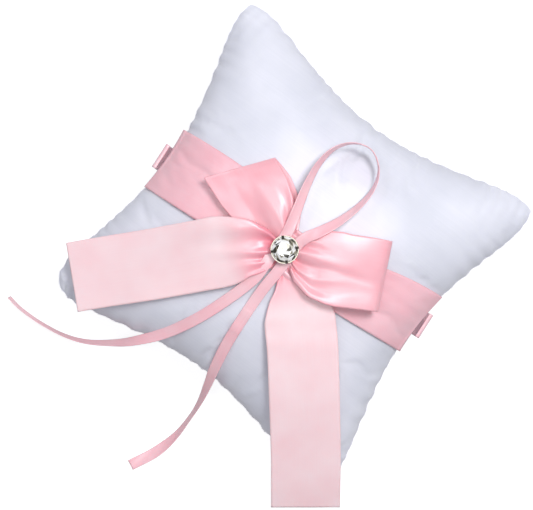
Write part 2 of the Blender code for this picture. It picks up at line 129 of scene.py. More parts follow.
def new_material(name: str) -> tuple[bpy.types.Material, bpy.types.NodeTree]:
    """An empty node material.

    Args:
        name: what the finish is.

    Returns:
        The material and its tree.
    """
    made = bpy.data.materials.new(name)
    made.use_nodes = True
    made.node_tree.nodes.clear()
    return made, made.node_tree


@dataclass(frozen=True)
class RibbonSatin:
    """Single-face polyester satin ribbon: floating warp threads that run along it, and woven edges.

    The long floats give soft bright bands that lie across the ribbon, where it turns to the light.
    """

    name: str
    width: float
    body: str = "#F3ACB7"
    light: str = "#F6BCC5"
    thread_pitch: float = 0.4 * MM  # real threads are 0.1 mm apart, too fine to show
    selvedge: float = 0.55 * MM
    pick_pitch: float = 1.1 * MM  # the weft's turns along the edge, as coarse as the threads
    roughness: float = 0.31
    # painted shade: a deeper pink that stands in for the shade in the knot's gathers
    painted_gather_shade: str = "#EE93A3"
    gathered: float = 0.0  # how far along the shade of the gathers reaches

    def build(self) -> bpy.types.Material:
        """The ribbon's material. Its UV map holds metres along the ribbon and from its middle line.

        Returns:
            The material.
        """
        made, tree = new_material(self.name)
        uv = add_node(tree, "ShaderNodeUVMap", {"uv_map": "UVMap"})
        split = add_node(tree, "ShaderNodeSeparateXYZ", links={0: uv.outputs[0]})
        stretched = add_node(
            tree, "ShaderNodeMapping", {"Scale": (30.0, 1 / self.thread_pitch, 1.0)}, {0: uv.outputs[0]}
        )
        threads = add_node(
            tree, "ShaderNodeTexNoise", {"Scale": 1.0, "Detail": 2.0, "Roughness": 0.6}, {0: stretched.outputs[0]}
        )
        clouds = add_node(tree, "ShaderNodeTexNoise", {"Scale": 45.0, "Detail": 2.0}, {0: uv.outputs[0]})
        tone = add_node(
            tree, "ShaderNodeMath", {"operation": "MULTIPLY_ADD", 1: 0.35},
            {0: threads.outputs[0], 2: clouds.outputs[0]},
        )
        spread = add_node(
            tree, "ShaderNodeMapRange", {"From Min": 0.45, "From Max": 0.9}, {"Value": tone.outputs[0]}
        )
        colour = add_node(
            tree, "ShaderNodeMix", {"data_type": "RGBA", 6: linear(self.body), 7: linear(self.light)},
            {0: spread.outputs[0]},
        )
        # painted shade: near the ribbon's start, by the knot, the colour turns to the deeper pink of the gathers'
        # shade
        if self.gathered:
            reach = add_node(
                tree, "ShaderNodeMapRange",
                {"From Min": 0.1 * self.gathered, "From Max": self.gathered, "interpolation_type": "SMOOTHSTEP"},
                {"Value": split.outputs[0]},
            )
            colour = add_node(
                tree, "ShaderNodeMix", {"data_type": "RGBA", 6: linear(self.painted_gather_shade)},
                {0: reach.outputs[0], 7: colour.outputs[2]},
            )
        from_middle = add_node(tree, "ShaderNodeMath", {"operation": "ABSOLUTE"}, {0: split.outputs[1]})
        edge = add_node(
            tree, "ShaderNodeMapRange",
            {"From Min": self.width / 2 - 2 * self.selvedge, "From Max": self.width / 2 - self.selvedge},
            {"Value": from_middle.outputs[0]},
        )
        picks = add_node(
            tree, "ShaderNodeTexWave", {"bands_direction": "X", "Scale": 0.5 / self.pick_pitch, "Distortion": 0.6},
            {0: uv.outputs[0]},
        )
        rib = add_node(
            tree, "ShaderNodeMath", {"operation": "MULTIPLY"}, {0: edge.outputs[0], 1: picks.outputs[1]}
        )
        relief = add_node(
            tree, "ShaderNodeMath", {"operation": "MULTIPLY_ADD", 1: 0.16},
            {0: threads.outputs[0], 2: rib.outputs[0]},
        )
        bump = add_node(
            tree, "ShaderNodeBump", {"Strength": 0.25, "Distance": 0.12 * MM}, {"Height": relief.outputs[0]}
        )
        gloss = add_node(
            tree, "ShaderNodeMapRange", {"To Min": self.roughness - 0.04, "To Max": self.roughness + 0.08},
            {"Value": threads.outputs[0]},
        )
        tangent = add_node(tree, "ShaderNodeTangent", {"direction_type": "UV_MAP", "uv_map": "UVMap"})
        shader = add_node(
            tree, "ShaderNodeBsdfPrincipled",
            {"Specular IOR Level": 0.85, "Sheen Weight": 0.1, "Sheen Roughness": 0.4, "Anisotropic": 0.65,
             "Subsurface Weight": 0.12, "Subsurface Radius": (1.0, 0.35, 0.3), "Subsurface Scale": 0.8 * MM,
             "Sheen Tint": linear("#FFF2F4")},
            {"Base Color": colour.outputs[2], "Roughness": gloss.outputs[0], "Normal": bump.outputs[0],
             "Tangent": tangent.outputs[0]},
        )
        add_node(tree, "ShaderNodeOutputMaterial", links={0: shader.outputs[0]})
        return made


@dataclass(frozen=True)
class CoverSatin:
    """White polyester satin dress cloth, cut and sewn: a cool white with a soft broad gloss."""

    name: str = "woven polyester satin, white"
    body: str = "#D4D6E1"
    light: str = "#E0E1EB"
    thread_pitch: float = 0.5 * MM  # real threads are 0.1 mm apart, too fine to show
    roughness: float = 0.42

    def build(self) -> bpy.types.Material:
        """The cover's material, on Object coordinates.

        Returns:
            The material.
        """
        made, tree = new_material(self.name)
        place = add_node(tree, "ShaderNodeTexCoord")
        lines = add_node(
            tree, "ShaderNodeMapping", {"Scale": (25.0, 1 / self.thread_pitch, 25.0)}, {0: place.outputs["Object"]}
        )
        threads = add_node(
            tree, "ShaderNodeTexNoise", {"Scale": 1.0, "Detail": 2.0}, {0: lines.outputs[0]}
        )
        clouds = add_node(tree, "ShaderNodeTexNoise", {"Scale": 30.0, "Detail": 3.0}, {0: place.outputs["Object"]})
        tone = add_node(
            tree, "ShaderNodeMath", {"operation": "MULTIPLY_ADD", 1: 0.3},
            {0: threads.outputs[0], 2: clouds.outputs[0]},
        )
        spread = add_node(
            tree, "ShaderNodeMapRange", {"From Min": 0.45, "From Max": 0.85}, {"Value": tone.outputs[0]}
        )
        colour = add_node(
            tree, "ShaderNodeMix", {"data_type": "RGBA", 6: linear(self.body), 7: linear(self.light)},
            {0: spread.outputs[0]},
        )
        bump = add_node(
            tree, "ShaderNodeBump", {"Strength": 0.12, "Distance": 0.1 * MM}, {"Height": threads.outputs[0]}
        )
        gloss = add_node(
            tree, "ShaderNodeMapRange", {"To Min": self.roughness - 0.05, "To Max": self.roughness + 0.07},
            {"Value": clouds.outputs[0]},
        )
        shader = add_node(
            tree, "ShaderNodeBsdfPrincipled",
            {"Specular IOR Level": 0.5, "Sheen Weight": 0.2, "Sheen Roughness": 0.4,
             "Subsurface Weight": 0.1, "Subsurface Radius": (0.8, 0.8, 1.0), "Subsurface Scale": 1.0 * MM},
            {"Base Color": colour.outputs[2], "Roughness": gloss.outputs[0], "Normal": bump.outputs[0]},
        )
        add_node(tree, "ShaderNodeOutputMaterial", links={0: shader.outputs[0]})
        return made


@dataclass(frozen=True)
class TwistedYarn:
    """Spun polyester, as sewing thread or as loose filling: matt, with fine fibres."""

    name: str
    body: str = "#E6E6EE"
    light: str = "#F8F8FC"
    grain: float = 0.3 * MM

    def build(self) -> bpy.types.Material:
        """The yarn's material, on Object coordinates.

        Returns:
            The material.
        """
        made, tree = new_material(self.name)
        place = add_node(tree, "ShaderNodeTexCoord")
        fibres = add_node(
            tree, "ShaderNodeTexNoise", {"Scale": 1 / self.grain, "Detail": 3.0}, {0: place.outputs["Object"]}
        )
        colour = add_node(
            tree, "ShaderNodeMix", {"data_type": "RGBA", 6: linear(self.body), 7: linear(self.light)},
            {0: fibres.outputs[0]},
        )
        bump = add_node(
            tree, "ShaderNodeBump", {"Strength": 0.4, "Distance": 0.1 * MM}, {"Height": fibres.outputs[0]}
        )
        shader = add_node(
            tree, "ShaderNodeBsdfPrincipled", {"Roughness": 0.7, "Sheen Weight": 0.3},
            {"Base Color": colour.outputs[2], "Normal": bump.outputs[0]},
        )
        add_node(tree, "ShaderNodeOutputMaterial", links={0: shader.outputs[0]})
        return made


@dataclass(frozen=True)
class PlatedBrass:
    """Stamped brass, silver plated: bright, with a faint yellow in the bends where the plate is thin."""

    name: str = "silver-plated brass"
    bright: str = "#8F8C84"
    worn: str = "#5A5549"

    def build(self) -> bpy.types.Material:
        """The metal's material, on Object coordinates.

        Returns:
            The material.
        """
        made, tree = new_material(self.name)
        place = add_node(tree, "ShaderNodeTexCoord")
        marks = add_node(tree, "ShaderNodeTexNoise", {"Scale": 900.0, "Detail": 2.0}, {0: place.outputs["Object"]})
        colour = add_node(
            tree, "ShaderNodeMix", {"data_type": "RGBA", 6: linear(self.worn), 7: linear(self.bright)},
            {0: marks.outputs[0]},
        )
        gloss = add_node(
            tree, "ShaderNodeMapRange", {"To Min": 0.12, "To Max": 0.32}, {"Value": marks.outputs[0]}
        )
        shader = add_node(
            tree, "ShaderNodeBsdfPrincipled", {"Metallic": 1.0},
            {"Base Color": colour.outputs[2], "Roughness": gloss.outputs[0]},
        )
        add_node(tree, "ShaderNodeOutputMaterial", links={0: shader.outputs[0]})
        return made


@dataclass(frozen=True)
class Rhinestone:
    """Cut lead glass with a silvered back: a hard gloss over facets that each mirror another part of the room.

    The facets' tones are painted reflections of the room, from dark olive to white, held in an attribute.
    """

    name: str = "foil-backed rhinestone glass"
    # painted reflections: the colours of the room's dim and bright parts as the facets would mirror them
    darkest: str = "#45423A"
    lightest: str = "#FFFFFF"
    between: tuple = ((0.3, "#A39E8C"), (0.55, "#DAD8CC"), (0.75, "#F8F7F2"))

    def build(self) -> bpy.types.Material:
        """The stone's material, whose ramp turns each facet's tone to a colour.

        Returns:
            The material.
        """
        made, tree = new_material(self.name)
        # painted reflections: the ramp turns each facet's tone into a colour from dark olive to white, for the part
        # of the room that the facet mirrors
        tone = add_node(tree, "ShaderNodeAttribute", {"attribute_name": PAINTED_FACET_REFLECTION})
        ramp = add_node(tree, "ShaderNodeValToRGB", links={0: tone.outputs["Fac"]})
        stops = ramp.color_ramp
        stops.elements[0].color = linear(self.darkest)
        stops.elements[1].color = linear(self.lightest)
        for at, shade in self.between:
            stops.elements.new(at).color = linear(shade)
        shader = add_node(
            tree, "ShaderNodeBsdfPrincipled",
            {"Metallic": 0.2, "Roughness": 0.2, "Specular IOR Level": 0.5, "Coat Weight": 0.35,
             "Coat Roughness": 0.02, "Coat IOR": 1.58},
            {"Base Color": ramp.outputs[0]},
        )
        add_node(tree, "ShaderNodeOutputMaterial", links={0: shader.outputs[0]})
        return made


# ---- meshes from grids ----


def quads(index: np.ndarray) -> np.ndarray:
    """The quads of a grid of point numbers: (i, j), (i+1, j), (i+1, j+1), (i, j+1).

    Args:
        index: rows by columns of point numbers.

    Returns:
        An array of faces by four.
    """
    corners = [index[:-1, :-1], index[1:, :-1], index[1:, 1:], index[:-1, 1:]]
    return np.stack(corners, axis=-1).reshape(-1, 4)


def grid_faces(rows: int, columns: int, closed: bool = False, looped: bool = False) -> np.ndarray:
    """Quads over a grid of rows by columns, numbered row by row.

    Args:
        rows: points along the first parameter.
        columns: points along the second.
        closed: whether the last column joins the first.
        looped: whether the last row joins the first.

    Returns:
        An array of faces by four.
    """
    index = np.arange(rows * columns).reshape(rows, columns)
    if looped:
        index = np.vstack([index, index[:1]])
    if closed:
        index = np.hstack([index, index[:, :1]])
    return quads(index)


def mesh_object(
    name: str, points: np.ndarray, faces: list | np.ndarray, uv: np.ndarray | None = None
) -> bpy.types.Object:
    """An object at the origin from points and faces.

    Args:
        name: the piece's name.
        points: points by three.
        faces: corner numbers of each face.
        uv: points by two, or None.

    Returns:
        The object, smooth shaded and linked to the scene.
    """
    data = bpy.data.meshes.new(name)
    listed = faces.tolist() if isinstance(faces, np.ndarray) else faces
    data.from_pydata(points.reshape(-1, 3).tolist(), [], listed)
    if uv is not None:
        layer = data.uv_layers.new(name="UVMap")
        corner = np.empty(len(data.loops), np.int32)
        data.loops.foreach_get("vertex_index", corner)
        layer.data.foreach_set("uv", uv.reshape(-1, 2)[corner].astype(np.float32).ravel())
    data.shade_smooth()
    obj = bpy.data.objects.new(name, data)
    bpy.context.scene.collection.objects.link(obj)
    return obj


def finish_piece(obj: bpy.types.Object, material: bpy.types.Material, slot: Slot, *nodes: str) -> None:
    """Dresses a piece, sets it on the body and lets it stand for its CAD nodes.

    Args:
        obj: the piece.
        material: its finish.
        slot: not used.
        nodes: the CAD nodes that it stands for.
    """
    obj.data.materials.clear()
    obj.data.materials.append(material)
    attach(obj, BODY)
    if nodes:
        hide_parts(*nodes)
    LOG.info("%s: %d faces", obj.name, len(obj.data.polygons))


def smooth_step(value: np.ndarray) -> np.ndarray:
    """3t^2 - 2t^3 of the value held between 0 and 1."""
    t = np.clip(value, 0.0, 1.0)
    return t * t * (3 - 2 * t)


def smooth_route(stations: np.ndarray, steps: int) -> tuple[np.ndarray, np.ndarray]:
    """A Catmull-Rom line through the stations.

    Args:
        stations: rows whose first three columns are a place.
        steps: how many equal lengths the line is cut into.

    Returns:
        The rows at equal distances along the line, and those distances.
    """
    padded = np.vstack([2 * stations[0] - stations[1], stations, 2 * stations[-1] - stations[-2]])
    p0, p1, p2, p3 = (padded[k : len(padded) - 3 + k][:, None, :] for k in range(4))
    t = np.linspace(0, 1, 16, endpoint=False)[None, :, None]
    fine = 0.5 * (
        2 * p1 + (p2 - p0) * t + (2 * p0 - 5 * p1 + 4 * p2 - p3) * t**2 + (3 * p1 - p0 - 3 * p2 + p3) * t**3
    )
    fine = np.vstack([fine.reshape(-1, stations.shape[1]), stations[-1]])
    run = np.concatenate([[0.0], np.cumsum(np.linalg.norm(np.diff(fine[:, :3], axis=0), axis=1))])
    at = np.linspace(0, run[-1], steps + 1)
    return np.stack([np.interp(at, run, column) for column in fine.T], axis=1), at


def ribbon_frames(rows: np.ndarray) -> tuple[np.ndarray, np.ndarray, np.ndarray]:
    """Middle line, half-width vectors and normals of a ribbon.

    Args:
        rows: x, y, z, roll in degrees and width.

    Returns:
        Three arrays of rows by three. The half width lies level at a roll of 0 and turns about the line.
    """
    middle = rows[:, :3]
    ahead = np.gradient(middle, axis=0)
    ahead /= np.linalg.norm(ahead, axis=1)[:, None]
    level = np.cross([0.0, 0.0, 1.0], ahead)
    level /= np.linalg.norm(level, axis=1)[:, None]
    raised = np.cross(ahead, level)
    roll = np.radians(rows[:, 3])[:, None]
    side = np.cos(roll) * level + np.sin(roll) * raised
    return middle, side * rows[:, 4:5] / 2, np.cross(ahead, side)


def thicken(obj: bpy.types.Object) -> None:
    """Gives a ribbon its thickness, shared to both sides.

    Args:
        obj: the open sheet.
    """
    wall = obj.modifiers.new("Thickness", "SOLIDIFY")
    wall.thickness = RIBBON_THICK
    wall.offset = 0.0


def face_outwards(obj: bpy.types.Object) -> None:
    """Welds a closed piece's poles and turns its faces outwards.

    Args:
        obj: the piece.
    """
    shape = bmesh.new()
    shape.from_mesh(obj.data)
    bmesh.ops.remove_doubles(shape, verts=shape.verts, dist=0.01 * MM)
    bmesh.ops.recalc_face_normals(shape, faces=shape.faces)
    shape.to_mesh(obj.data)
    shape.free()


# ---- the cushion ----


@dataclass
class HeightMap:
    """The top of a surface over a square raster, for laying cloth on it."""

    values: np.ndarray
    half: float
    pitch: float

    @classmethod
    def of(cls, points: np.ndarray, half: float = 100 * MM, pitch: float = 1.0 * MM) -> "HeightMap":
        """A map of a grid of points, four times as fine as the grid.

        Args:
            points: rows by columns by three.
            half: half the raster's side.
            pitch: its cell.

        Returns:
            The map: the highest point in each cell, and 0 where there is none.
        """
        for axis in (0, 1):
            moved = np.moveaxis(points, axis, 0)
            share = np.linspace(0, 1, 4, endpoint=False)[:, None, None, None]
            fine = moved[None, :-1] * (1 - share) + moved[None, 1:] * share
            fine = np.moveaxis(fine, 0, 1).reshape(-1, *moved.shape[1:])
            points = np.moveaxis(np.vstack([fine, moved[-1:]]), 0, axis)
        size = int(round(2 * half / pitch)) + 1
        column, row = (np.rint((points[..., k] + half) / pitch).astype(int).ravel() for k in (0, 1))
        values = np.zeros((size, size))
        np.maximum.at(values, (column, row), points[..., 2].ravel())
        return cls(values, half, pitch)

    def at(self, x: np.ndarray, y: np.ndarray) -> np.ndarray:
        """Heights at places, mixed from the raster's four nearest cells, and 0 off the cushion.

        Args:
            x: the places' x.
            y: their y.

        Returns:
            Their heights. Where one of the four cells is off the cushion, the highest of them.
        """
        last = len(self.values) - 1.001
        column = np.clip((np.asarray(x) + self.half) / self.pitch, 0, last)
        row = np.clip((np.asarray(y) + self.half) / self.pitch, 0, last)
        i, j = column.astype(int), row.astype(int)
        a, b = column - i, row - j
        near = [self.values[i, j], self.values[i + 1, j], self.values[i, j + 1], self.values[i + 1, j + 1]]
        mixed = near[0] * (1 - a) * (1 - b) + near[1] * a * (1 - b) + near[2] * (1 - a) * b + near[3] * a * b
        return np.where(np.min(near, axis=0) > 0, mixed, np.max(near, axis=0))


@dataclass
class Cushion:
    """The stuffed cover: two 200 mm squares sewn together, turned and filled."""

    corner_half: float = 96.3 * MM
    waist_draw: float = 13.1 * MM
    corner_rounding: float = 0.056
    high_pull: float = 0.048  # the corners on the loop's side, drawn out
    low_pull: tuple[float, float] = (-0.012, 0.012)  # those on the tails' side, left and right
    seam_height: float = 30.0 * MM
    front_rise: float = 35.95 * MM
    back_drop: float = 36.2 * MM
    back_flat: float = 0.75 * MM  # the lowest that the back lies
    back_soft: float = 1.2 * MM  # how softly it turns into that level
    fullness: float = 1.24
    cloth_half: float = 100.0 * MM
    steps: int = 96
    frames: int = 26
    scale_up: float = 10.0
    blur_passes: int = 90
    pucker_cap: float = 2.4 * MM
    gather: float = 1.35 * MM
    gather_reach: float = 0.10
    gather_slow: tuple[float, float] = (2.0, 3.4)
    gather_waves: tuple[float, float] = (22.0, 26.0)  # half waves along a side
    dent: float = 0.28 * MM
    dent_count: int = 7
    dent_waves: tuple[float, float] = (7.0, 15.0)
    stitch: float = 2.5 * MM
    thread_points: int = 1600
    thread_sides: int = 6

    def reach(self, along: np.ndarray) -> np.ndarray:
        """A side's distance from the middle: the corner's, less the waist's share (1 + cos(pi t)) / 2."""
        return self.corner_half - self.waist_draw * (1 + np.cos(np.pi * along)) / 2

    def place(self, u: np.ndarray, v: np.ndarray, rise: float) -> np.ndarray:
        """Points of a panel: plan (u reach(v), v reach(u)), and height seam + rise ((1-u^2)(1-v^2))^p.

        p is half the fullness. The plan is scaled by 1 + pull |uv|^3 - rounding |uv|^8, which moves the corners.

        Args:
            u: places across the cushion, -1 to 1.
            v: places up it, -1 to 1.
            rise: how far the panel's middle stands over the seam.

        Returns:
            The points.
        """
        near = np.abs(u * v)
        low = np.where(u < 0, *self.low_pull)
        soften = 1 + np.where(v < 0, low, self.high_pull) * near**3 - self.corner_rounding * near**8
        across = np.clip((1 - u * u) * (1 - v * v), 0, None)
        z = self.seam_height + rise * across ** (self.fullness / 2)
        return np.stack([u * self.reach(v) * soften, v * self.reach(u) * soften, z], axis=-1)

    def even(self, s: np.ndarray, t: np.ndarray) -> np.ndarray:
        """The u of cloth position s on the line t: by arc length in mid-panel, and by plan at the seam.

        Args:
            s: cloth positions along the line, -1 to 1.
            t: the line's own position, -1 to 1.

        Returns:
            The u, mixed by the share (1 - t^2)^(fullness / 2) of the arc's.
        """
        u = np.linspace(0, 1, 2001)
        outline = np.stack([u * self.reach(0.0), self.front_rise * (1 - u * u) ** (self.fullness / 2)])
        run = np.concatenate([[0.0], np.cumsum(np.linalg.norm(np.diff(outline, axis=1), axis=0))])
        by_arc = np.sign(s) * np.interp(np.abs(s), run / run[-1], u)
        share = np.clip(1 - t * t, 0, 1) ** (self.fullness / 2)
        return by_arc * share + s * (1 - share)

    def grids(self) -> tuple[np.ndarray, np.ndarray, np.ndarray]:
        """The front and back panels' points, and the flat cloth position of each.

        The back is pressed level where it rests: level + (d + sqrt(d^2 + soft^2)) / 2, with d its height over it.

        Returns:
            Three grids.
        """
        line = np.linspace(-1, 1, self.steps + 1)
        s, t = np.meshgrid(line, line, indexing="ij")
        u, v = self.even(s, t), self.even(t, s)
        front = self.place(u, v, self.front_rise)
        back = self.place(u, v, -self.back_drop)
        low = back[..., 2] - self.back_flat
        back[..., 2] = self.back_flat + (low + np.sqrt(low * low + self.back_soft * self.back_soft)) / 2
        back[..., 2] = np.where((np.abs(s) == 1) | (np.abs(t) == 1), front[..., 2], back[..., 2])
        flat = np.stack([s * self.cloth_half, t * self.cloth_half], axis=-1)
        return front, back, flat

    def sewn(self, front: np.ndarray, back: np.ndarray) -> tuple[np.ndarray, np.ndarray, np.ndarray]:
        """One closed surface of the two panels, which share the seam's points.

        Args:
            front: the front panel's grid.
            back: the back panel's grid.

        Returns:
            The points, the quads, and each back grid point's number.
        """
        size = self.steps + 1
        front_index = np.arange(size * size).reshape(size, size)
        back_index = front_index.copy()
        inner = (size - 2) ** 2
        back_index[1:-1, 1:-1] = size * size + np.arange(inner).reshape(size - 2, size - 2)
        faces = np.vstack([quads(front_index), quads(back_index)[:, ::-1]])
        points = np.vstack([front.reshape(-1, 3), back[1:-1, 1:-1].reshape(-1, 3)])
        return points, faces, back_index

    def inflate(self, points: np.ndarray, faces: np.ndarray, rest: np.ndarray) -> np.ndarray:
        """Runs the cloth from the stuffed shape, with the flat cut as its natural size.

        Args:
            points: the stuffed shape.
            faces: its quads.
            rest: the flat cut's points.

        Returns:
            Where the cloth's points come to rest.
        """
        obj = mesh_object("cover_cloth", points * self.scale_up, faces)
        obj.shape_key_add(name="Basis")
        cut = obj.shape_key_add(name="Cut")
        cut.data.foreach_set("co", (rest * self.scale_up).astype(np.float32).ravel())
        cut.value = 0.0
        cloth = obj.modifiers.new("Cloth", "CLOTH")
        how = cloth.settings
        how.quality = 6
        how.mass = 0.2
        how.air_damping = 3.0
        how.tension_stiffness = 25.0
        how.compression_stiffness = 25.0
        how.shear_stiffness = 6.0
        how.bending_stiffness = 0.15
        how.rest_shape_key = cut
        how.use_pressure = True
        how.uniform_pressure_force = 5.0
        how.effector_weights.gravity = 0.0
        cloth.collision_settings.use_collision = False
        cloth.collision_settings.use_self_collision = False
        cloth.point_cache.frame_start = 1
        cloth.point_cache.frame_end = self.frames
        scene = bpy.context.scene
        for number in range(1, self.frames + 1):
            scene.frame_set(number)
        graph = bpy.context.evaluated_depsgraph_get()
        settled = np.empty(len(points) * 3, np.float32)
        obj.evaluated_get(graph).data.vertices.foreach_get("co", settled)
        scene.frame_set(1)
        bpy.data.objects.remove(obj, do_unlink=True)
        return settled.reshape(-1, 3).astype(float) / self.scale_up

    @staticmethod
    def blurred(grid: np.ndarray, passes: int) -> np.ndarray:
        """A grid averaged with its four neighbours, over and over, with its rim mirrored outwards.

        Args:
            grid: rows by columns by three.
            passes: how many times.

        Returns:
            The smooth grid.
        """
        for _ in range(passes):
            wide = np.pad(grid, ((1, 1), (1, 1), (0, 0)), mode="reflect")
            grid = (wide[:-2, 1:-1] + wide[2:, 1:-1] + wide[1:-1, :-2] + wide[1:-1, 2:] + 2 * grid) / 6
        return grid

    def puckers(self, moved: np.ndarray) -> np.ndarray:
        """The fine part of a panel's movement, with its length held to the cap by L tanh(d/L)/d.

        It fades out at the corners by 1 - smooth((|st| - 0.55) / 0.35).

        Args:
            moved: how far each of the grid's points has moved.

        Returns:
            The part of it to keep.
        """
        line = np.linspace(-1, 1, self.steps + 1)
        corner = smooth_step((np.abs(np.outer(line, line)) - 0.55) / 0.35)[..., None]
        fine = moved - self.blurred(moved, self.blur_passes)
        length = np.linalg.norm(fine, axis=-1, keepdims=True) + 1e-9
        return fine * (1 - corner) * (self.pucker_cap * np.tanh(length / self.pucker_cap) / length)

    def gathers(self, side: float) -> np.ndarray:
        """Fine gathers that the seam's stitches pull into a panel.

        Height A sin(phase) exp(-edge/reach), summed over the four sides. The phase runs along the seam with a
        wavelength near 8 mm that wanders by a slow seeded wave, and edge is the distance from the seam. A few
        longer seeded waves cross the whole panel as soft dents.

        Args:
            side: +1 for the front panel and -1 for the back.

        Returns:
            Offsets of the panel's grid.
        """
        line = np.linspace(-1, 1, self.steps + 1)
        s, t = np.meshgrid(line, line, indexing="ij")
        draw = np.random.default_rng(5 if side > 0 else 6)
        lifted = np.zeros((self.steps + 1, self.steps + 1, 3))
        for across, along, axis in ((s, t, 0), (t, s, 1)):
            for end in (-1.0, 1.0):
                slow = draw.uniform(*self.gather_slow)
                start = draw.uniform(0, 2 * HALF_TURN)
                wave = draw.uniform(*self.gather_waves)
                phase = wave * np.pi * along + 2.6 * np.sin(slow * np.pi * along + start)
                strength = 0.65 + 0.35 * np.sin(1.7 * slow * np.pi * along + 2 * start)
                edge = np.clip(1 - end * across, 0, None)
                fade = np.exp(-edge / self.gather_reach) * smooth_step((1 - np.abs(along)) / 0.12)
                ridge = self.gather * strength * np.sin(phase) * fade
                lifted[..., 2] += side * ridge * smooth_step(edge / 0.03)
                lifted[..., axis] += end * 0.45 * ridge
        inner = smooth_step((1 - np.abs(s)) / 0.3) * smooth_step((1 - np.abs(t)) / 0.3)
        for _ in range(self.dent_count):
            turn = draw.uniform(0, HALF_TURN)
            wave = draw.uniform(*self.dent_waves)
            start = draw.uniform(0, 2 * HALF_TURN)
            path = wave * (s * np.cos(turn) + t * np.sin(turn)) + start
            lifted[..., 2] += side * self.dent * np.sin(path + 0.8 * np.sin(2.3 * t + start)) * inner
        return lifted

    def settle(self, front: np.ndarray, back: np.ndarray, flat: np.ndarray) -> tuple[np.ndarray, np.ndarray]:
        """Adds the fine part of the cloth simulation's movement to both panels.

        Args:
            front: the front panel's grid.
            back: the back panel's grid.
            flat: the flat cloth position of each of their points.

        Returns:
            The front and back grids.
        """
        points, faces, back_index = self.sewn(front, back)
        apart = 0.5 * MM  # keeps the two flat squares from lying in one plane
        rest_front = np.dstack([flat, np.full(flat.shape[:2], apart)])
        rest_back = np.dstack([flat, np.full(flat.shape[:2], -apart)])
        rest_front[0, :, 2] = rest_front[-1, :, 2] = rest_front[:, 0, 2] = rest_front[:, -1, 2] = 0.0
        rest = self.sewn(rest_front, rest_back)[0]
        settled = self.inflate(points, faces, rest)
        size = self.steps + 1
        moved_front = (settled[: size * size] - points[: size * size]).reshape(size, size, 3)
        moved_back = (settled - points)[back_index]
        return front + self.puckers(moved_front), back + self.puckers(moved_back)

    def build(self, satin: bpy.types.Material, fibre: bpy.types.Material, thread: bpy.types.Material) -> HeightMap:
        """Makes the cover, the filling and the seam's stitches.

        Args:
            satin: the cover's finish.
            fibre: the filling's.
            thread: the stitches'.

        Returns:
            The front's heights.
        """
        front, back, flat = self.grids()
        front, back = self.settle(front, back, flat)
        front = front + self.gathers(1.0)
        back = back + self.gathers(-1.0)
        back[..., 2] = np.maximum(back[..., 2], self.back_flat)
        points, faces, _ = self.sewn(front, back)
        cover = mesh_object("cushion_cover", points, faces)
        self.crease_seam(cover)
        smooth = cover.modifiers.new("Smooth", "SUBSURF")
        smooth.levels = smooth.render_levels = 1
        finish_piece(cover, satin, Slot.COVER, "front_panel", "back_panel")
        self.build_filling(front, back, fibre)
        self.build_stitches(front, thread)
        return HeightMap.of(front)

    def crease_seam(self, cover: bpy.types.Object) -> None:
        """Marks the seam's edges sharp and creased, so that the two panels meet in a line.

        Args:
            cover: the cover.
        """
        data = cover.data
        size = self.steps + 1
        row, column = np.divmod(np.arange(size * size), size)
        rim = np.zeros(len(data.vertices), bool)
        rim[: size * size] = (row == 0) | (row == size - 1) | (column == 0) | (column == size - 1)
        ends = np.empty(len(data.edges) * 2, np.int32)
        data.edges.foreach_get("vertices", ends)
        on_rim = rim[ends.reshape(-1, 2)].all(axis=1)
        sharp = data.attributes.new("sharp_edge", "BOOLEAN", "EDGE")
        sharp.data.foreach_set("value", on_rim)
        crease = data.attributes.new("crease_edge", "FLOAT", "EDGE")
        crease.data.foreach_set("value", on_rim.astype(np.float32))

    def build_filling(self, front: np.ndarray, back: np.ndarray, fibre: bpy.types.Material) -> None:
        """The wad inside: the cover drawn in towards the middle by 4% in plan and 7% in height.

        Args:
            front: the front panel's grid.
            back: the back panel's grid.
            fibre: the wad's finish.
        """
        middle = np.array([0.0, 0.0, self.seam_height])
        shrink = np.array([0.96, 0.96, 0.93])
        thin = Cushion(steps=self.steps // 2)
        points, faces, _ = thin.sewn(front[::2, ::2], back[::2, ::2])
        wad = mesh_object("fibre_wad", middle + (points - middle) * shrink, faces)
        finish_piece(wad, fibre, Slot.FIBRE, "fibre_filling")

    def build_stitches(self, front: np.ndarray, thread: bpy.types.Material) -> None:
        """The seam's lockstitch, a round thread along the rim that swells once in each stitch.

        Its radius is 0.13 + 0.07 cos(2 pi run / stitch) mm.

        Args:
            front: the front panel's grid, whose rim is the seam.
            thread: the stitches' finish.
        """
        rim = np.vstack([front[:-1, 0], front[-1, :-1], front[:0:-1, -1], front[0, :0:-1]])
        closed = np.vstack([rim, rim[:1]])
        run = np.concatenate([[0.0], np.cumsum(np.linalg.norm(np.diff(closed, axis=0), axis=1))])
        at = np.linspace(0, run[-1], self.thread_points, endpoint=False)
        line = np.stack([np.interp(at, run, closed[:, k]) for k in range(3)], axis=1)
        ahead = np.roll(line, -1, axis=0) - np.roll(line, 1, axis=0)
        ahead /= np.linalg.norm(ahead, axis=1)[:, None]
        out = np.cross(ahead, [0.0, 0.0, 1.0])
        up = np.cross(out, ahead)
        radius = (0.13 + 0.07 * np.cos(2 * np.pi * at / self.stitch)) * MM
        angle = np.linspace(0, 2 * np.pi, self.thread_sides, endpoint=False)
        spoke = np.cos(angle)[None, :, None] * out[:, None] + np.sin(angle)[None, :, None] * up[:, None]
        tube = line[:, None] + out[:, None] * 0.12 * MM + spoke * radius[:, None, None]
        faces = grid_faces(self.thread_points, self.thread_sides, closed=True, looped=True)
        stitches = mesh_object("seam_stitches", tube, faces[:, ::-1])
        finish_piece(stitches, thread, Slot.THREAD, "seam_thread")


# ---- ribbons ----


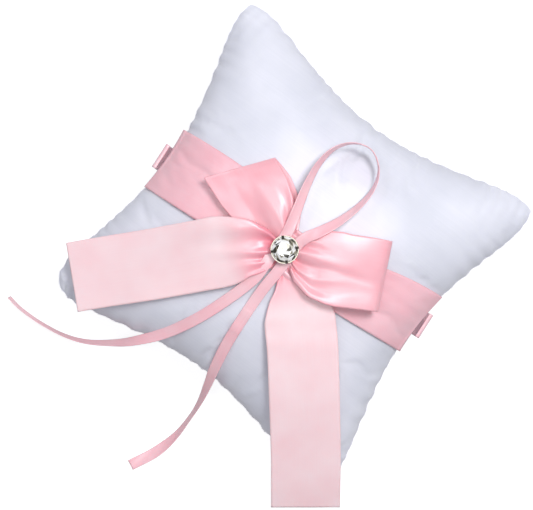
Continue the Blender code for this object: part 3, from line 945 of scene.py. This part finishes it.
@dataclass(frozen=True)
class Pleat:
    """A fold that runs out from the knot.

    Its height at a place is height exp(-((q - c)/spread)^2) exp(-(d - start)/reach), where q is the place
    across the ribbon, -1 to 1, and d its distance from the knot's middle. Its crest c wanders about at by
    0.1 sin((d - start)/9 mm + 5 at).
    """

    at: float
    spread: float
    height: float
    reach: float
    start: float = 6.0 * MM

    def lift(self, q: np.ndarray, distance: np.ndarray) -> np.ndarray:
        """The pleat's height at places across and out.

        Args:
            q: places across the ribbon.
            distance: distances from the knot's middle.

        Returns:
            The heights.
        """
        beyond = np.clip(distance - self.start, 0, None)
        place = self.at + 0.10 * np.sin(beyond / (9 * MM) + 5 * self.at)
        return self.height * np.exp(-(((q - place) / self.spread) ** 2)) * np.exp(-beyond / self.reach)


def pleated(pleats: tuple[Pleat, ...], q: np.ndarray, distance: np.ndarray) -> np.ndarray:
    """The sum of some pleats.

    Args:
        pleats: the pleats.
        q: places across the ribbon.
        distance: distances from the knot's middle.

    Returns:
        The heights.
    """
    total = np.zeros(np.broadcast(q, distance).shape)
    for pleat in pleats:
        total = total + pleat.lift(q, distance)
    return total


@dataclass
class FrontBand:
    """The wide ribbon across the front, caught in both side seams."""

    cushion: Cushion
    heights: HeightMap
    turn: float = math.radians(3.6)
    middle_y: float = 4.6 * MM
    lift: float = 0.45 * MM
    crowding: float = 0.93  # of a quarter turn: how closely its rows lie at the ends
    share: float = 0.992  # of the way to the seam
    pinch_reach: tuple[float, float] = (26 * MM, 45 * MM)  # left and right of the knot
    drawn_in: float = 0.34  # of its width, under the knot
    wrinkle: float = 0.7 * MM
    wrinkle_turn: float = 15.0  # radians from the middle to an edge
    swell: float = 1.3 * MM
    wave: float = 9 * MM
    bridge: int = 3  # columns on each side that it bridges at its ends
    taut_passes: int = 3
    steps: tuple[int, int] = (150, 28)

    def middle(self, x: np.ndarray) -> np.ndarray:
        """The y of the band's middle line."""
        return self.middle_y + x * math.tan(self.turn)

    def build(self, satin: bpy.types.Material) -> None:
        """Lays the band on the front.

        Its height is the cover's, plus its lift, plus wrinkles where the knot pinches it, sin(turn q + x/wave),
        plus broad swells along it, sin(x/wave - 1.5 q). It is pulled taut: no row lies lower than the mean of the two
        beside it. Near its ends it bridges the cover's gathers and then turns down to the seam by 1 - t^6.

        Args:
            satin: the band's finish.
        """
        p, q = np.meshgrid(
            np.linspace(-1, 1, self.steps[0] + 1), np.linspace(-1, 1, self.steps[1] + 1), indexing="ij"
        )
        v = (self.middle(0.0) + WIDE / 2 * q) / self.cushion.corner_half
        quarter = np.pi / 2 * self.crowding
        x = np.sin(p * quarter) / math.sin(quarter) * self.cushion.reach(v) * self.share
        pinch = np.exp(-(((x - KNOT[0]) / np.where(x < KNOT[0], *self.pinch_reach)) ** 2))
        half = WIDE / 2 / math.cos(self.turn) * (1 - self.drawn_in * pinch)
        y = self.middle(x) * (1 - pinch) + KNOT[1] * pinch + half * q
        seam = self.cushion.seam_height
        z = np.maximum(self.heights.at(x, y), seam)
        crest = z
        for over in (np.max, np.mean):
            padded = np.pad(crest, ((0, 0), (self.bridge, self.bridge)), mode="edge")
            crest = over([padded[:, k : k + q.shape[1]] for k in range(2 * self.bridge + 1)], axis=0)
        z = z + (crest - z) * smooth_step((np.abs(p) - 0.8) / 0.12)
        z = seam + (z - seam) * (1 - np.clip((np.abs(p) - 0.9) / 0.1, 0, 1) ** 6)
        z = z + self.wrinkle * pinch * (1 + np.sin(self.wrinkle_turn * q + x / self.wave))
        for _ in range(self.taut_passes):
            z[1:-1] = np.maximum(z[1:-1], (z[:-2] + z[2:]) / 2)
        swell = self.swell * (0.5 + 0.5 * np.sin(x / self.wave - 1.5 * q)) * np.clip(1 - p**6, 0, None)
        z = z + self.lift + RIBBON_THICK / 2 + swell
        points = np.stack([x, y, z], -1)
        uv = np.stack([x / math.cos(self.turn), q * WIDE / 2], -1)
        obj = mesh_object("front_band_ribbon", points, grid_faces(*p.shape), uv)
        thicken(obj)
        finish_piece(obj, satin, Slot.RIBBON, "front_band")


@dataclass
class BowTail:
    """A tail of the bow: ribbon along a route of x, y, z and width in mm and roll in degrees."""

    name: str
    node: str
    stations: list
    pleats: tuple[Pleat, ...]
    heights: HeightMap
    rests_on: tuple[str, ...] = ("cushion_cover",)
    lift: float = 1.0 * MM
    steps: tuple[int, int] = (150, 32)

    def build(self, satin: bpy.types.Material) -> None:
        """Makes the tail: middle line + q half width + pleats along its normal, kept above the cover.

        Args:
            satin: the tail's finish.
        """
        rows = np.array(self.stations, float) * [MM, MM, MM, 1.0, MM]
        rows, at = smooth_route(rows, self.steps[0])
        middle, half, normal = ribbon_frames(rows)
        q = np.linspace(-1, 1, self.steps[1] + 1)[None, :]
        points = middle[:, None] + half[:, None] * q[..., None]
        distance = np.linalg.norm(points[..., :2] - KNOT, axis=-1)
        points = points + normal[:, None] * pleated(self.pleats, q, distance)[..., None]
        floor = self.heights.at(points[..., 0], points[..., 1]) + self.lift
        points[..., 2] = np.maximum(points[..., 2], floor)
        uv = np.stack(np.broadcast_arrays(at[:, None], q * WIDE / 2), -1)
        obj = mesh_object(self.name, points, grid_faces(*points.shape[:2]), uv)
        thicken(obj)
        finish_piece(obj, satin, Slot.RIBBON, self.node)


@dataclass
class BowLoop:
    """A loop of the bow: out along its lower layer, round a crisp fold and back along its upper one."""

    name: str
    node: str
    heading: float
    reach: float
    lower: tuple  # (share of reach, height in mm) of the lower layer, going out
    upper: tuple  # the same of the upper layer, coming back
    widths: tuple  # (share of reach, half width in mm)
    bow: tuple  # (share of reach, sideways shift in mm) of the middle line
    skew: float  # how far one edge reaches past the other at the fold
    pleats: tuple[Pleat, ...]
    press: float = 0.0  # the share of the gap that the upper layer's left edge sinks by
    under: float = 0.0  # sideways shift of the lower layer at the knot's end
    dome: float = 1.2 * MM
    steps: tuple[int, int] = (190, 40)

    def build(self, satin: bpy.types.Material) -> None:
        """Makes the loop from its section (distance out, height), its widths, its bow and its pleats.

        Plan: knot + far (1 + skew q) along the heading + (half width q + shift) across it. Height: the section's,
        plus the pleats, a quarter as high below, plus dome (1 - q^2) above, less what is pressed down.

        Args:
            satin: the loop's finish.
        """
        fold = (self.lower[-1][1] + self.upper[0][1]) / 2
        section = [*self.lower, (1.0, fold), *self.upper]
        line = np.array([(share * self.reach, 0.0, z * MM) for share, z in section])
        rows, at = smooth_route(line, self.steps[0])
        out, height = rows[:, 0], rows[:, 2]
        tip = int(np.argmax(out))
        low = np.interp(out, out[: tip + 1], height[: tip + 1])
        upper = np.arange(len(out)) > tip
        q = np.linspace(-1, 1, self.steps[1] + 1)[None, :]
        share = out / self.reach
        half = np.interp(share, *np.array(self.widths).T)[:, None] * MM
        shift = np.interp(share, *np.array(self.bow).T)[:, None] * MM
        shift = shift + np.where(upper, 0.0, self.under * (1 - share**3))[:, None]
        far = out[:, None] * (1 + self.skew * q * smooth_step((share[:, None] - 0.2) / 0.8))
        ahead = np.array([math.cos(self.heading), math.sin(self.heading)])
        across = np.array([-ahead[1], ahead[0]])
        plan = KNOT + far[..., None] * ahead + (half * q + shift)[..., None] * across
        gap = np.where(upper, height - low, 0.0)[:, None]
        full = smooth_step((1 - share) / 0.35)[:, None]
        lift = pleated(self.pleats, q, np.broadcast_to(out[:, None], far.shape))
        lift = lift * np.where(upper, 1.0, 0.25)[:, None]
        crown = np.where(upper, self.dome, 0.0)[:, None] * (1 - q * q) * full
        z = height[:, None] + lift + crown - gap * self.press * smooth_step((1 + q) / 2)
        points = np.concatenate([plan, z[..., None]], axis=-1)
        uv = np.stack(np.broadcast_arrays(at[:, None], q * WIDE / 2), -1)
        obj = mesh_object(self.name, points, grid_faces(*points.shape[:2])[:, ::-1], uv)
        thicken(obj)
        finish_piece(obj, satin, Slot.RIBBON, self.node)


@dataclass
class Bow:
    """The bow of wide ribbon: a gathered knot, two loops and two tails."""

    heights: HeightMap
    knot_base: float = 67.1 * MM
    knot_height: float = 5.0 * MM
    knot_radius: float = 7.0 * MM
    creases: int = 17
    crease_depth: float = 0.07

    def build(self, satin: bpy.types.Material, pale: bpy.types.Material) -> None:
        """Makes the bow's five pieces.

        Args:
            satin: the finish of the knot and the loops.
            pale: the finish of the tails, a paler copy of the ribbon whose lighter colour is painted sheen, for the
                light that their flat faces throw back.
        """
        self.build_knot(satin)
        self.right_loop().build(satin)
        self.left_loop().build(satin)
        self.left_tail().build(pale)
        self.right_tail().build(pale)

    def right_loop(self) -> BowLoop:
        """The loop on the right, seen a little from its open side.

        Returns:
            The loop, unbuilt.
        """
        base = self.knot_base / MM
        return BowLoop(
            "right_bow_loop", "bow_loop_right", math.radians(21.4), 55.0 * MM,
            lower=((0.10, base + 1.2), (0.36, base + 0.9), (0.62, base + 0.2), (0.84, base - 1.4),
                   (0.975, base - 2.4)),
            upper=((0.99, base + 0.6), (0.955, base + 2.7), (0.88, base + 4.2), (0.72, base + 5.4),
                   (0.52, base + 6.4), (0.30, base + 5.8), (0.17, base + 4.4), (0.10, base + 3.6)),
            widths=((0.0, 5.5), (0.10, 9.0), (0.17, 13.5), (0.32, 18.0), (0.5, 19.6), (0.75, 19.4), (1.0, 19.0)),
            bow=((0.0, -0.5), (0.15, -1.8), (0.35, -2.8), (0.6, -2.6), (0.85, -0.8), (1.0, 0.0)),
            skew=-0.02,
            pleats=(
                Pleat(-0.88, 0.13, 2.0 * MM, 16 * MM), Pleat(-0.62, 0.11, -2.4 * MM, 11 * MM),
                Pleat(-0.40, 0.11, 2.2 * MM, 13 * MM), Pleat(-0.16, 0.12, -2.6 * MM, 16 * MM),
                Pleat(0.12, 0.15, 1.8 * MM, 9 * MM), Pleat(0.42, 0.15, -2.8 * MM, 9 * MM),
                Pleat(0.74, 0.16, 1.8 * MM, 7 * MM), Pleat(-0.35, 0.40, -2.2 * MM, 26 * MM, 20 * MM),
            ),
        )

    def left_loop(self) -> BowLoop:
        """The loop on the left, pressed down along one edge.

        Returns:
            The loop, unbuilt.
        """
        base = self.knot_base / MM
        return BowLoop(
            "left_bow_loop", "bow_loop_left", math.radians(155.2), 49.5 * MM,
            lower=((0.11, base + 1.0), (0.40, base - 0.8), (0.68, base - 2.4), (0.88, base - 3.4),
                   (0.97, base - 3.6)),
            upper=((0.985, base - 2.0), (0.90, base + 0.6), (0.70, base + 4.4), (0.46, base + 6.0),
                   (0.27, base + 5.0), (0.11, base + 2.8)),
            widths=((0.0, 5.0), (0.11, 7.5), (0.22, 11.5), (0.45, 16.0), (0.7, 18.6), (1.0, 19.2)),
            bow=((0.0, 0.0), (0.4, -1.0), (1.0, 0.0)),
            skew=0.09,
            press=0.45,
            under=-3.6 * MM,
            pleats=(
                Pleat(-0.94, 0.12, 1.3 * MM, 26 * MM), Pleat(-0.66, 0.14, -1.6 * MM, 16 * MM),
                Pleat(-0.32, 0.16, 1.2 * MM, 12 * MM), Pleat(0.10, 0.2, -1.9 * MM, 18 * MM),
                Pleat(0.5, 0.25, -1.8 * MM, 24 * MM, 12 * MM),
            ),
        )

    def left_tail(self) -> BowTail:
        """The tail that crosses the left loop's foot.

        Returns:
            The tail, unbuilt.
        """
        wide = WIDE / MM
        return BowTail(
            "left_bow_tail", "bow_tail_left",
            [
                (-4.4, -4.6, 70.8, 0, 12), (-7.4, -7.0, 71.6, 0, 20), (-12.0, -10.2, 72.6, -3, 26),
                (-19.0, -15.0, 72.6, -6, 33), (-27.0, -22.6, 70.0, -7, wide), (-36.0, -32.2, 66.0, -5, wide),
                (-54.0, -51.2, 57.0, 0, wide), (-69.7, -67.0, 49.6, 0, wide), (-84.6, -82.4, 43.6, 0, wide),
            ],
            pleats=(
                Pleat(-0.84, 0.14, 1.6 * MM, 14 * MM), Pleat(-0.40, 0.24, -3.6 * MM, 11 * MM),
                Pleat(0.04, 0.15, 2.2 * MM, 12 * MM), Pleat(0.34, 0.13, -1.8 * MM, 9 * MM),
                Pleat(0.62, 0.13, 1.4 * MM, 10 * MM), Pleat(0.86, 0.13, -1.0 * MM, 12 * MM),
                Pleat(-0.62, 0.34, 1.8 * MM, 22 * MM, 26 * MM),
            ),
            heights=self.heights, rests_on=("left_bow_loop", "cushion_cover"),
        )

    def right_tail(self) -> BowTail:
        """The longer tail, which reaches past the cushion's corner.

        Returns:
            The tail, unbuilt.
        """
        wide = WIDE / MM
        return BowTail(
            "right_bow_tail", "bow_tail_right",
            [
                (1.6, -5.4, 67.9, 0, 7), (5.6, -9.6, 67.9, 0, 9), (10.8, -13.4, 67.8, 0, 15),
                (17.2, -17.8, 67.2, 0, 27), (25.4, -25.0, 65.6, 0, 36.5), (31.0, -31.0, 63.9, 0, wide),
                (39.0, -40.0, 61.4, 0, wide), (56.0, -61.2, 53.2, 0, wide), (73.6, -83.5, 42.0, 0, wide),
                (84.0, -97.4, 34.6, 0, wide), (92.7, -109.2, 27.2, 0, wide),
            ],
            pleats=(
                Pleat(-0.75, 0.2, 0.9 * MM, 9 * MM), Pleat(-0.3, 0.2, -0.7 * MM, 10 * MM),
                Pleat(0.2, 0.2, 0.7 * MM, 9 * MM),
            ),
            heights=self.heights, lift=1.1 * MM,
        )

    def build_knot(self, satin: bpy.types.Material) -> None:
        """The drawn-up middle: a rounded pad whose radius swells by depth cos(creases a + 3 sin a) round it.

        Its profile is cos(side)^0.35 outwards and sin(side)^0.7 upwards.

        Args:
            satin: the knot's finish.
        """
        side = np.linspace(-0.5, 0.5, 21)[:, None] * np.pi
        angle = np.linspace(0, 2 * np.pi, 136, endpoint=False)[None, :]
        flatter = np.sign(np.cos(side)) * np.abs(np.cos(side)) ** 0.35
        crease = np.cos(self.creases * angle + 3 * np.sin(angle))
        radius = self.knot_radius * flatter * (1 + self.crease_depth * crease)
        level = self.knot_height / 2 * np.sign(np.sin(side)) * np.abs(np.sin(side)) ** 0.7
        x, y = KNOT[0] + radius * np.cos(angle), KNOT[1] + radius * np.sin(angle)
        z = np.broadcast_to(self.knot_base + self.knot_height / 2 + level, x.shape)
        uv = np.stack(np.broadcast_arrays(side * self.knot_radius, angle * 0 + 0.5 * MM), -1)
        knot = mesh_object("gathered_knot", np.stack([x, y, z], -1), grid_faces(*x.shape, closed=True), uv)
        face_outwards(knot)
        finish_piece(knot, satin, Slot.RIBBON, "bow_knot")


@dataclass
class HandStrap:
    """The slack strap behind, whose ends stand out past the side seams."""

    cushion: Cushion
    band: FrontBand
    floor_gap: float = 0.05 * MM
    steps: tuple[int, int] = (220, 12)

    def build(self, satin: bpy.types.Material) -> None:
        """Makes the strap from seam to seam along the resting surface.

        Half of its middle line is a row of (distance out, height), and the other half mirrors it. Its width lies
        level, square to the band.

        Args:
            satin: the strap's finish.
        """
        edge = (abs(self.band.middle(float(self.cushion.reach(0.0)))) + STRAP_WIDE / 2) / self.cushion.corner_half
        reach = float(self.cushion.reach(edge)) / MM
        seam = self.cushion.seam_height / MM
        flat = (RIBBON_THICK / 2 + self.floor_gap) / MM
        half = [
            (reach + 0.5, seam), (reach + 2.2, seam - 0.5), (reach + 2.9, seam - 4.2),
            (reach + 1.4, seam - 12.0), (reach - 6.0, seam - 21.5), (reach - 18.0, seam - 27.8),
            (reach - 30.0, flat), (reach - 42.0, flat), (0.5 * (reach - 42.0), flat),
        ]
        line = [(-x, z) for x, z in half] + [(0.0, flat)] + [(x, z) for x, z in reversed(half)]
        tilt = math.tan(self.band.turn)
        stations = [(x, self.band.middle_y / MM + x * tilt, z) for x, z in line]
        rows, at = smooth_route(np.array(stations) * MM, self.steps[0])
        rows[:, 2] = np.maximum(rows[:, 2], flat * MM)
        across = np.array([-math.sin(self.band.turn), math.cos(self.band.turn), 0.0]) * STRAP_WIDE / 2
        q = np.linspace(-1, 1, self.steps[1] + 1)[None, :]
        points = rows[:, None] + across * q[..., None]
        uv = np.stack(np.broadcast_arrays(at[:, None], q * STRAP_WIDE / 2), -1)
        obj = mesh_object("hand_strap_ribbon", points, grid_faces(*points.shape[:2]), uv)
        thicken(obj)
        finish_piece(obj, satin, Slot.RIBBON, "hand_strap")


@dataclass
class NarrowRibbon:
    """The ribbon that the rings are tied to: a loop and two tails from under the stone."""

    level: float = 72.6  # its height on the knot, in mm
    lane: float = 3.9  # each pass from the stone's axis, in mm
    gap: float = 0.3  # from the loop's ends to the tails', in mm
    clear: float = 0.5 * MM  # above the cover
    curl: float = 0.25 * MM  # how far its edges stand over its middle
    spread: int = 6  # rows on each side that share a lift
    columns: int = 11

    def routes(self) -> dict[str, tuple[list, str, int]]:
        """Each piece's route: its stations (x, y, z in mm, roll in degrees), its far end and its steps.

        Returns:
            Those three for each node.
        """
        knot_x, knot_y = KNOT / MM
        left_x, right_x, start = knot_x - self.lane, knot_x + self.lane, knot_y + self.gap
        level = self.level
        loop = [
            (left_x, start, level, 0), (left_x, start + 6.0, level + 0.3, 0), (-6.2, 11.0, 74.2, 12),
            (-8.4, 19.3, 75.0, 30), (-11.6, 31.7, 72.8, 46), (-13.3, 44.0, 69.4, 60), (-12.1, 54.7, 66.2, 72),
            (-7.9, 62.4, 63.8, 82), (-1.5, 67.0, 62.2, 90), (5.7, 67.8, 61.6, 92), (12.9, 63.3, 61.8, 88),
            (16.8, 56.4, 63.0, 80), (18.0, 47.5, 65.6, 70), (16.4, 36.5, 69.4, 58), (12.8, 25.4, 73.8, 42),
            (8.0, 15.6, 75.6, 22), (4.4, 9.6, 74.4, 8), (right_x, start + 6.0, level + 0.3, 0),
            (right_x, start, level, 0),
        ]
        left = [
            (left_x, start - 2 * self.gap, level, 0), (left_x, start - 6.0, level, 0), (-4.6, -14.0, 72.4, 0),
            (-5.0, -24.6, 69.6, 0), (-9.6, -41.0, 63.8, 0), (-16.6, -59.2, 56.0, 4), (-25.6, -76.0, 45.0, 12),
            (-36.6, -90.0, 34.0, 36), (-46.2, -99.4, 22.5, 56), (-59.2, -108.8, 12.5, 70),
            (-72.6, -114.3, 6.0, 78), (-88.0, -116.7, 4.0, 80), (-101.4, -116.8, 3.6, 80),
            (-109.9, -115.4, 3.6, 80),
        ]
        right = [
            (right_x, start - 2 * self.gap, level, 0), (right_x, start - 6.0, level, 0), (2.8, -14.4, 71.4, 0),
            (2.2, -26.4, 67.6, 0), (2.7, -42.5, 61.8, 0), (4.0, -59.9, 54.6, 6), (6.6, -75.6, 44.6, 22),
            (9.0, -85.6, 35.4, 42), (11.4, -97.0, 24.0, 62), (12.5, -108.3, 14.0, 70), (12.2, -122.4, 6.0, 56),
            (8.6, -136.8, 2.4, 20), (1.6, -151.4, 0.8, 0),
        ]
        return {
            "ring_loop": (loop, "object", 260), "ring_tail_left": (left, "bare", 220),
            "ring_tail_right": (right, "bare", 220),
        }

    def build(self, satin: bpy.types.Material, heights: HeightMap) -> None:
        """Makes the three pieces.

        Where the cover would come through, the middle line is lifted by what is needed, or by the mean of what is
        needed beside it, whichever is more. The section is curl (q^2 - 1/2).

        Args:
            satin: the narrow ribbon's finish.
            heights: the cover's front, which a piece stays above.
        """
        for node, (stations, far_end, steps) in self.routes().items():
            rows = np.array([(*row, NARROW / MM) for row in stations]) * [MM, MM, MM, 1.0, MM]
            rows, at = smooth_route(rows, steps)
            middle, half, normal = ribbon_frames(rows)
            low = middle[:, 2] - np.abs(half[:, 2])
            need = np.maximum(heights.at(middle[:, 0], middle[:, 1]) + self.clear - low, 0.0)
            window = 2 * self.spread + 1
            smooth = np.convolve(np.pad(need, self.spread, mode="edge"), np.ones(window) / window, mode="valid")
            middle = middle + np.maximum(need, smooth)[:, None] * [0.0, 0.0, 1.0]
            q = np.linspace(-1, 1, self.columns)[None, :]
            curl = self.curl * (q * q - 0.5)
            points = middle[:, None] + half[:, None] * q[..., None] + normal[:, None] * curl[..., None]
            points[..., 2] = np.maximum(points[..., 2], RIBBON_THICK)
            run = np.concatenate([[0.0], np.cumsum(np.linalg.norm(np.diff(middle, axis=0), axis=1))])
            uv = np.stack(np.broadcast_arrays(run[:, None], q * NARROW / 2), -1)
            obj = mesh_object(f"{node}_ribbon", points, grid_faces(*points.shape[:2]), uv)
            thicken(obj)
            finish_piece(obj, satin, Slot.RIBBON, node)


# ---- the stone ----


@dataclass
class Stone:
    """A round foil-backed rhinestone in a clawed cup.

    Its rings run from the girdle's lower edge up and in: (points, share of the radius, height, share of a step
    that the ring is turned by).
    """

    radius: float = 6.85 * MM
    girdle_base: float = 77.25 * MM
    rings: tuple = (
        (16, 1.0, 0.0, 0.0), (16, 1.0, 0.4 * MM, 0.0), (16, 0.86, 1.15 * MM, 0.5), (8, 0.70, 1.9 * MM, 0.25),
        (8, 0.54, 2.45 * MM, 0.75), (8, 0.36, 2.58 * MM, 0.25), (4, 0.17, 2.66 * MM, 0.5),
    )
    reflection_tones: tuple = (0.0, 0.25, 0.5, 0.8, 1.0)
    shares: tuple = (0.22, 0.20, 0.15, 0.13, 0.30)
    seed: int = 21

    def build(self, glass: bpy.types.Material) -> None:
        """Makes the stone's facets, each with a tone from a seeded draw.

        Args:
            glass: the stone's finish.
        """
        points = []
        for count, share, height, turn in self.rings:
            angle = 2 * np.pi * (np.arange(count) + turn) / count
            radius = self.radius * share
            level = np.full(count, self.girdle_base + height)
            points.append(np.stack([KNOT[0] + radius * np.cos(angle), KNOT[1] + radius * np.sin(angle), level], 1))
        counts = [ring[0] for ring in self.rings]
        starts = np.concatenate([[0], np.cumsum(counts)])
        faces = [tuple(range(counts[0]))[::-1], tuple(range(int(starts[-2]), int(starts[-1])))]
        for level, (outer, inner) in enumerate(zip(counts[:-1], counts[1:])):
            for i in range(outer):
                here, after = starts[level] + i, starts[level] + (i + 1) % outer
                near = starts[level + 1] + (i * inner // outer) % inner
                other = starts[level + 1] + ((i + 1) * inner // outer) % inner
                faces.append((int(here), int(after), int(near)))
                if other != near:
                    faces.append((int(after), int(other), int(near)))
        obj = mesh_object("foil_backed_stone", np.vstack(points), faces)
        data = obj.data
        data.shade_flat()
        # painted reflections: each facet's tone is drawn at random, for the part of the room that it mirrors
        tone = np.random.default_rng(self.seed).choice(self.reflection_tones, len(data.polygons), p=self.shares)
        data.attributes.new(PAINTED_FACET_REFLECTION, "FLOAT", "FACE").data.foreach_set("value", tone.astype(np.float32))
        face_outwards(obj)
        finish_piece(obj, glass, Slot.GLASS, "crystal")


# ---- the room ----


@dataclass(frozen=True)
class Softbox:
    """A square lamp that points at the cushion's middle."""

    name: str
    place: tuple[float, float, float]
    side: float
    power: float
    colour: str = "#FFFFFF"

    def build(self) -> None:
        """Hangs the lamp. Its turn tips its own -Z from straight down to the cushion's middle."""
        lamp = bpy.data.lights.new(self.name, "AREA")
        lamp.shape = "SQUARE"
        lamp.size = self.side
        lamp.energy = self.power
        lamp.color = linear(self.colour)[:3]
        obj = bpy.data.objects.new(self.name, lamp)
        obj.location = self.place
        away = np.array(self.place) - np.array(CUSHION_MIDDLE)
        flat = math.hypot(away[0], away[1])
        obj.rotation_euler = (math.atan2(flat, away[2]), 0.0, math.atan2(away[1], away[0]) + math.pi / 2)
        bpy.context.scene.collection.objects.link(obj)


@dataclass
class Studio:
    """The floor, the lamps and the camera."""

    camera_height: float = 1.0
    camera_place: tuple[float, float] = (-7.0 * MM, -10.1 * MM)
    camera_turn: float = math.radians(36.4)
    lens: float = 119.3
    floor_half: float = 3.0
    floor_glow: tuple[float, float] = (0.22, 0.8)  # for other rays, and for the camera's, so that it shows white
    sky_strength: float = 0.3
    lamps: tuple[Softbox, ...] = (
        Softbox("key_lamp", (0.12, 0.52, 1.28), 0.42, 11.8),
        Softbox("top_lamp", (-0.05, -0.1, 1.7), 0.5, 6.0),
        Softbox("side_lamp", (-0.8, 0.25, 1.1), 0.35, 2.0, "#F8F9FF"),
    )

    def build_camera(self) -> None:
        """Hangs the camera straight above, turned about its own line of sight."""
        data = bpy.data.cameras.new("camera")
        data.lens = self.lens
        data.sensor_width = 36.0
        obj = bpy.data.objects.new("camera", data)
        obj.location = (*self.camera_place, self.camera_height)
        obj.rotation_euler = (0.0, 0.0, self.camera_turn)
        bpy.context.scene.collection.objects.link(obj)
        bpy.context.scene.camera = obj

    def build(self) -> None:
        """Lays the floor and lights it."""
        corner = np.array([(-1, -1, 0), (1, -1, 0), (1, 1, 0), (-1, 1, 0)], float) * self.floor_half
        floor = mesh_object("floor", corner, [(0, 1, 2, 3)])
        made, tree = new_material("matt white card")
        place = add_node(tree, "ShaderNodeTexCoord")
        grain = add_node(tree, "ShaderNodeTexNoise", {"Scale": 400.0}, {0: place.outputs["Object"]})
        bump = add_node(
            tree, "ShaderNodeBump", {"Strength": 0.03, "Distance": 0.1 * MM}, {"Height": grain.outputs[0]}
        )
        ray = add_node(tree, "ShaderNodeLightPath")
        glow = add_node(
            tree, "ShaderNodeMapRange", {"To Min": self.floor_glow[0], "To Max": self.floor_glow[1]},
            {"Value": ray.outputs["Is Camera Ray"]},
        )
        shader = add_node(
            tree, "ShaderNodeBsdfPrincipled",
            {"Base Color": linear("#A9A9AB"), "Roughness": 0.9, "Specular IOR Level": 0.1,
             "Emission Color": (1.0, 1.0, 1.0, 1.0)},
            {"Normal": bump.outputs[0], "Emission Strength": glow.outputs[0]},
        )
        add_node(tree, "ShaderNodeOutputMaterial", links={0: shader.outputs[0]})
        floor.data.materials.append(made)
        bpy.context.scene.view_settings.view_transform = "Standard"
        world = bpy.data.worlds.new("studio")
        bpy.context.scene.world = world
        world.use_nodes = True
        sky = world.node_tree.nodes["Background"]
        sky.inputs[0].default_value = linear("#F7F8FF")
        sky.inputs[1].default_value = self.sky_strength
        for lamp in self.lamps:
            lamp.build()


def dress_node(node: str, material: bpy.types.Material) -> None:
    """Gives a CAD node that stays a better finish.

    Args:
        node: its name.
        material: the finish.
    """
    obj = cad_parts[node]
    obj.data.materials.clear()
    obj.data.materials.append(material)
    LOG.info("%s: kept from the frame", node)


def main() -> None:
    """Builds the pieces in order."""
    logging.basicConfig(level=logging.INFO, format="%(message)s")
    studio = Studio()
    studio.build_camera()
    wide = RibbonSatin("pink satin ribbon, 38 mm", WIDE).build()
    # painted sheen: the tails' copy of the wide ribbon is paler, for the light that their flat faces throw back; near
    # the knot it also carries the painted shade of the gathers
    pale = RibbonSatin(
        "pink satin ribbon, 38 mm, ends, painted sheen", WIDE, body="#F9D2D7", light="#FBDDE1", gathered=32 * MM
    ).build()
    # painted sheen: the band's copy of the wide ribbon is lighter than the bow's, for the light that its flat run
    # throws back
    across = RibbonSatin("pink satin ribbon, 38 mm, flat, painted sheen", WIDE, body="#F6B8C3", light="#F8C7D0").build()
    # painted light: the strap's pink is lightened to offset the shade on its upright ends past the side seams
    strap = RibbonSatin("pink satin ribbon, 15 mm", STRAP_WIDE, body="#F9C6CF", light="#FBD3DA").build()
    narrow = RibbonSatin("pink satin ribbon, 6 mm", NARROW, body="#F5B9C3", light="#F9CCD3").build()
    cushion = Cushion()
    thread = TwistedYarn("spun polyester thread").build()
    heights = cushion.build(
        CoverSatin().build(), TwistedYarn("loose polyester fibre", grain=1.5 * MM).build(), thread
    )
    NarrowRibbon().build(narrow, heights)
    band = FrontBand(cushion, heights)
    band.build(across)
    HandStrap(cushion, band).build(strap)
    Bow(heights).build(wide, pale)
    Stone().build(Rhinestone().build())
    dress_node("stone_cup", PlatedBrass().build())
    dress_node("tacking_thread", thread)
    studio.build()


if __name__ == "__main__":
    main()
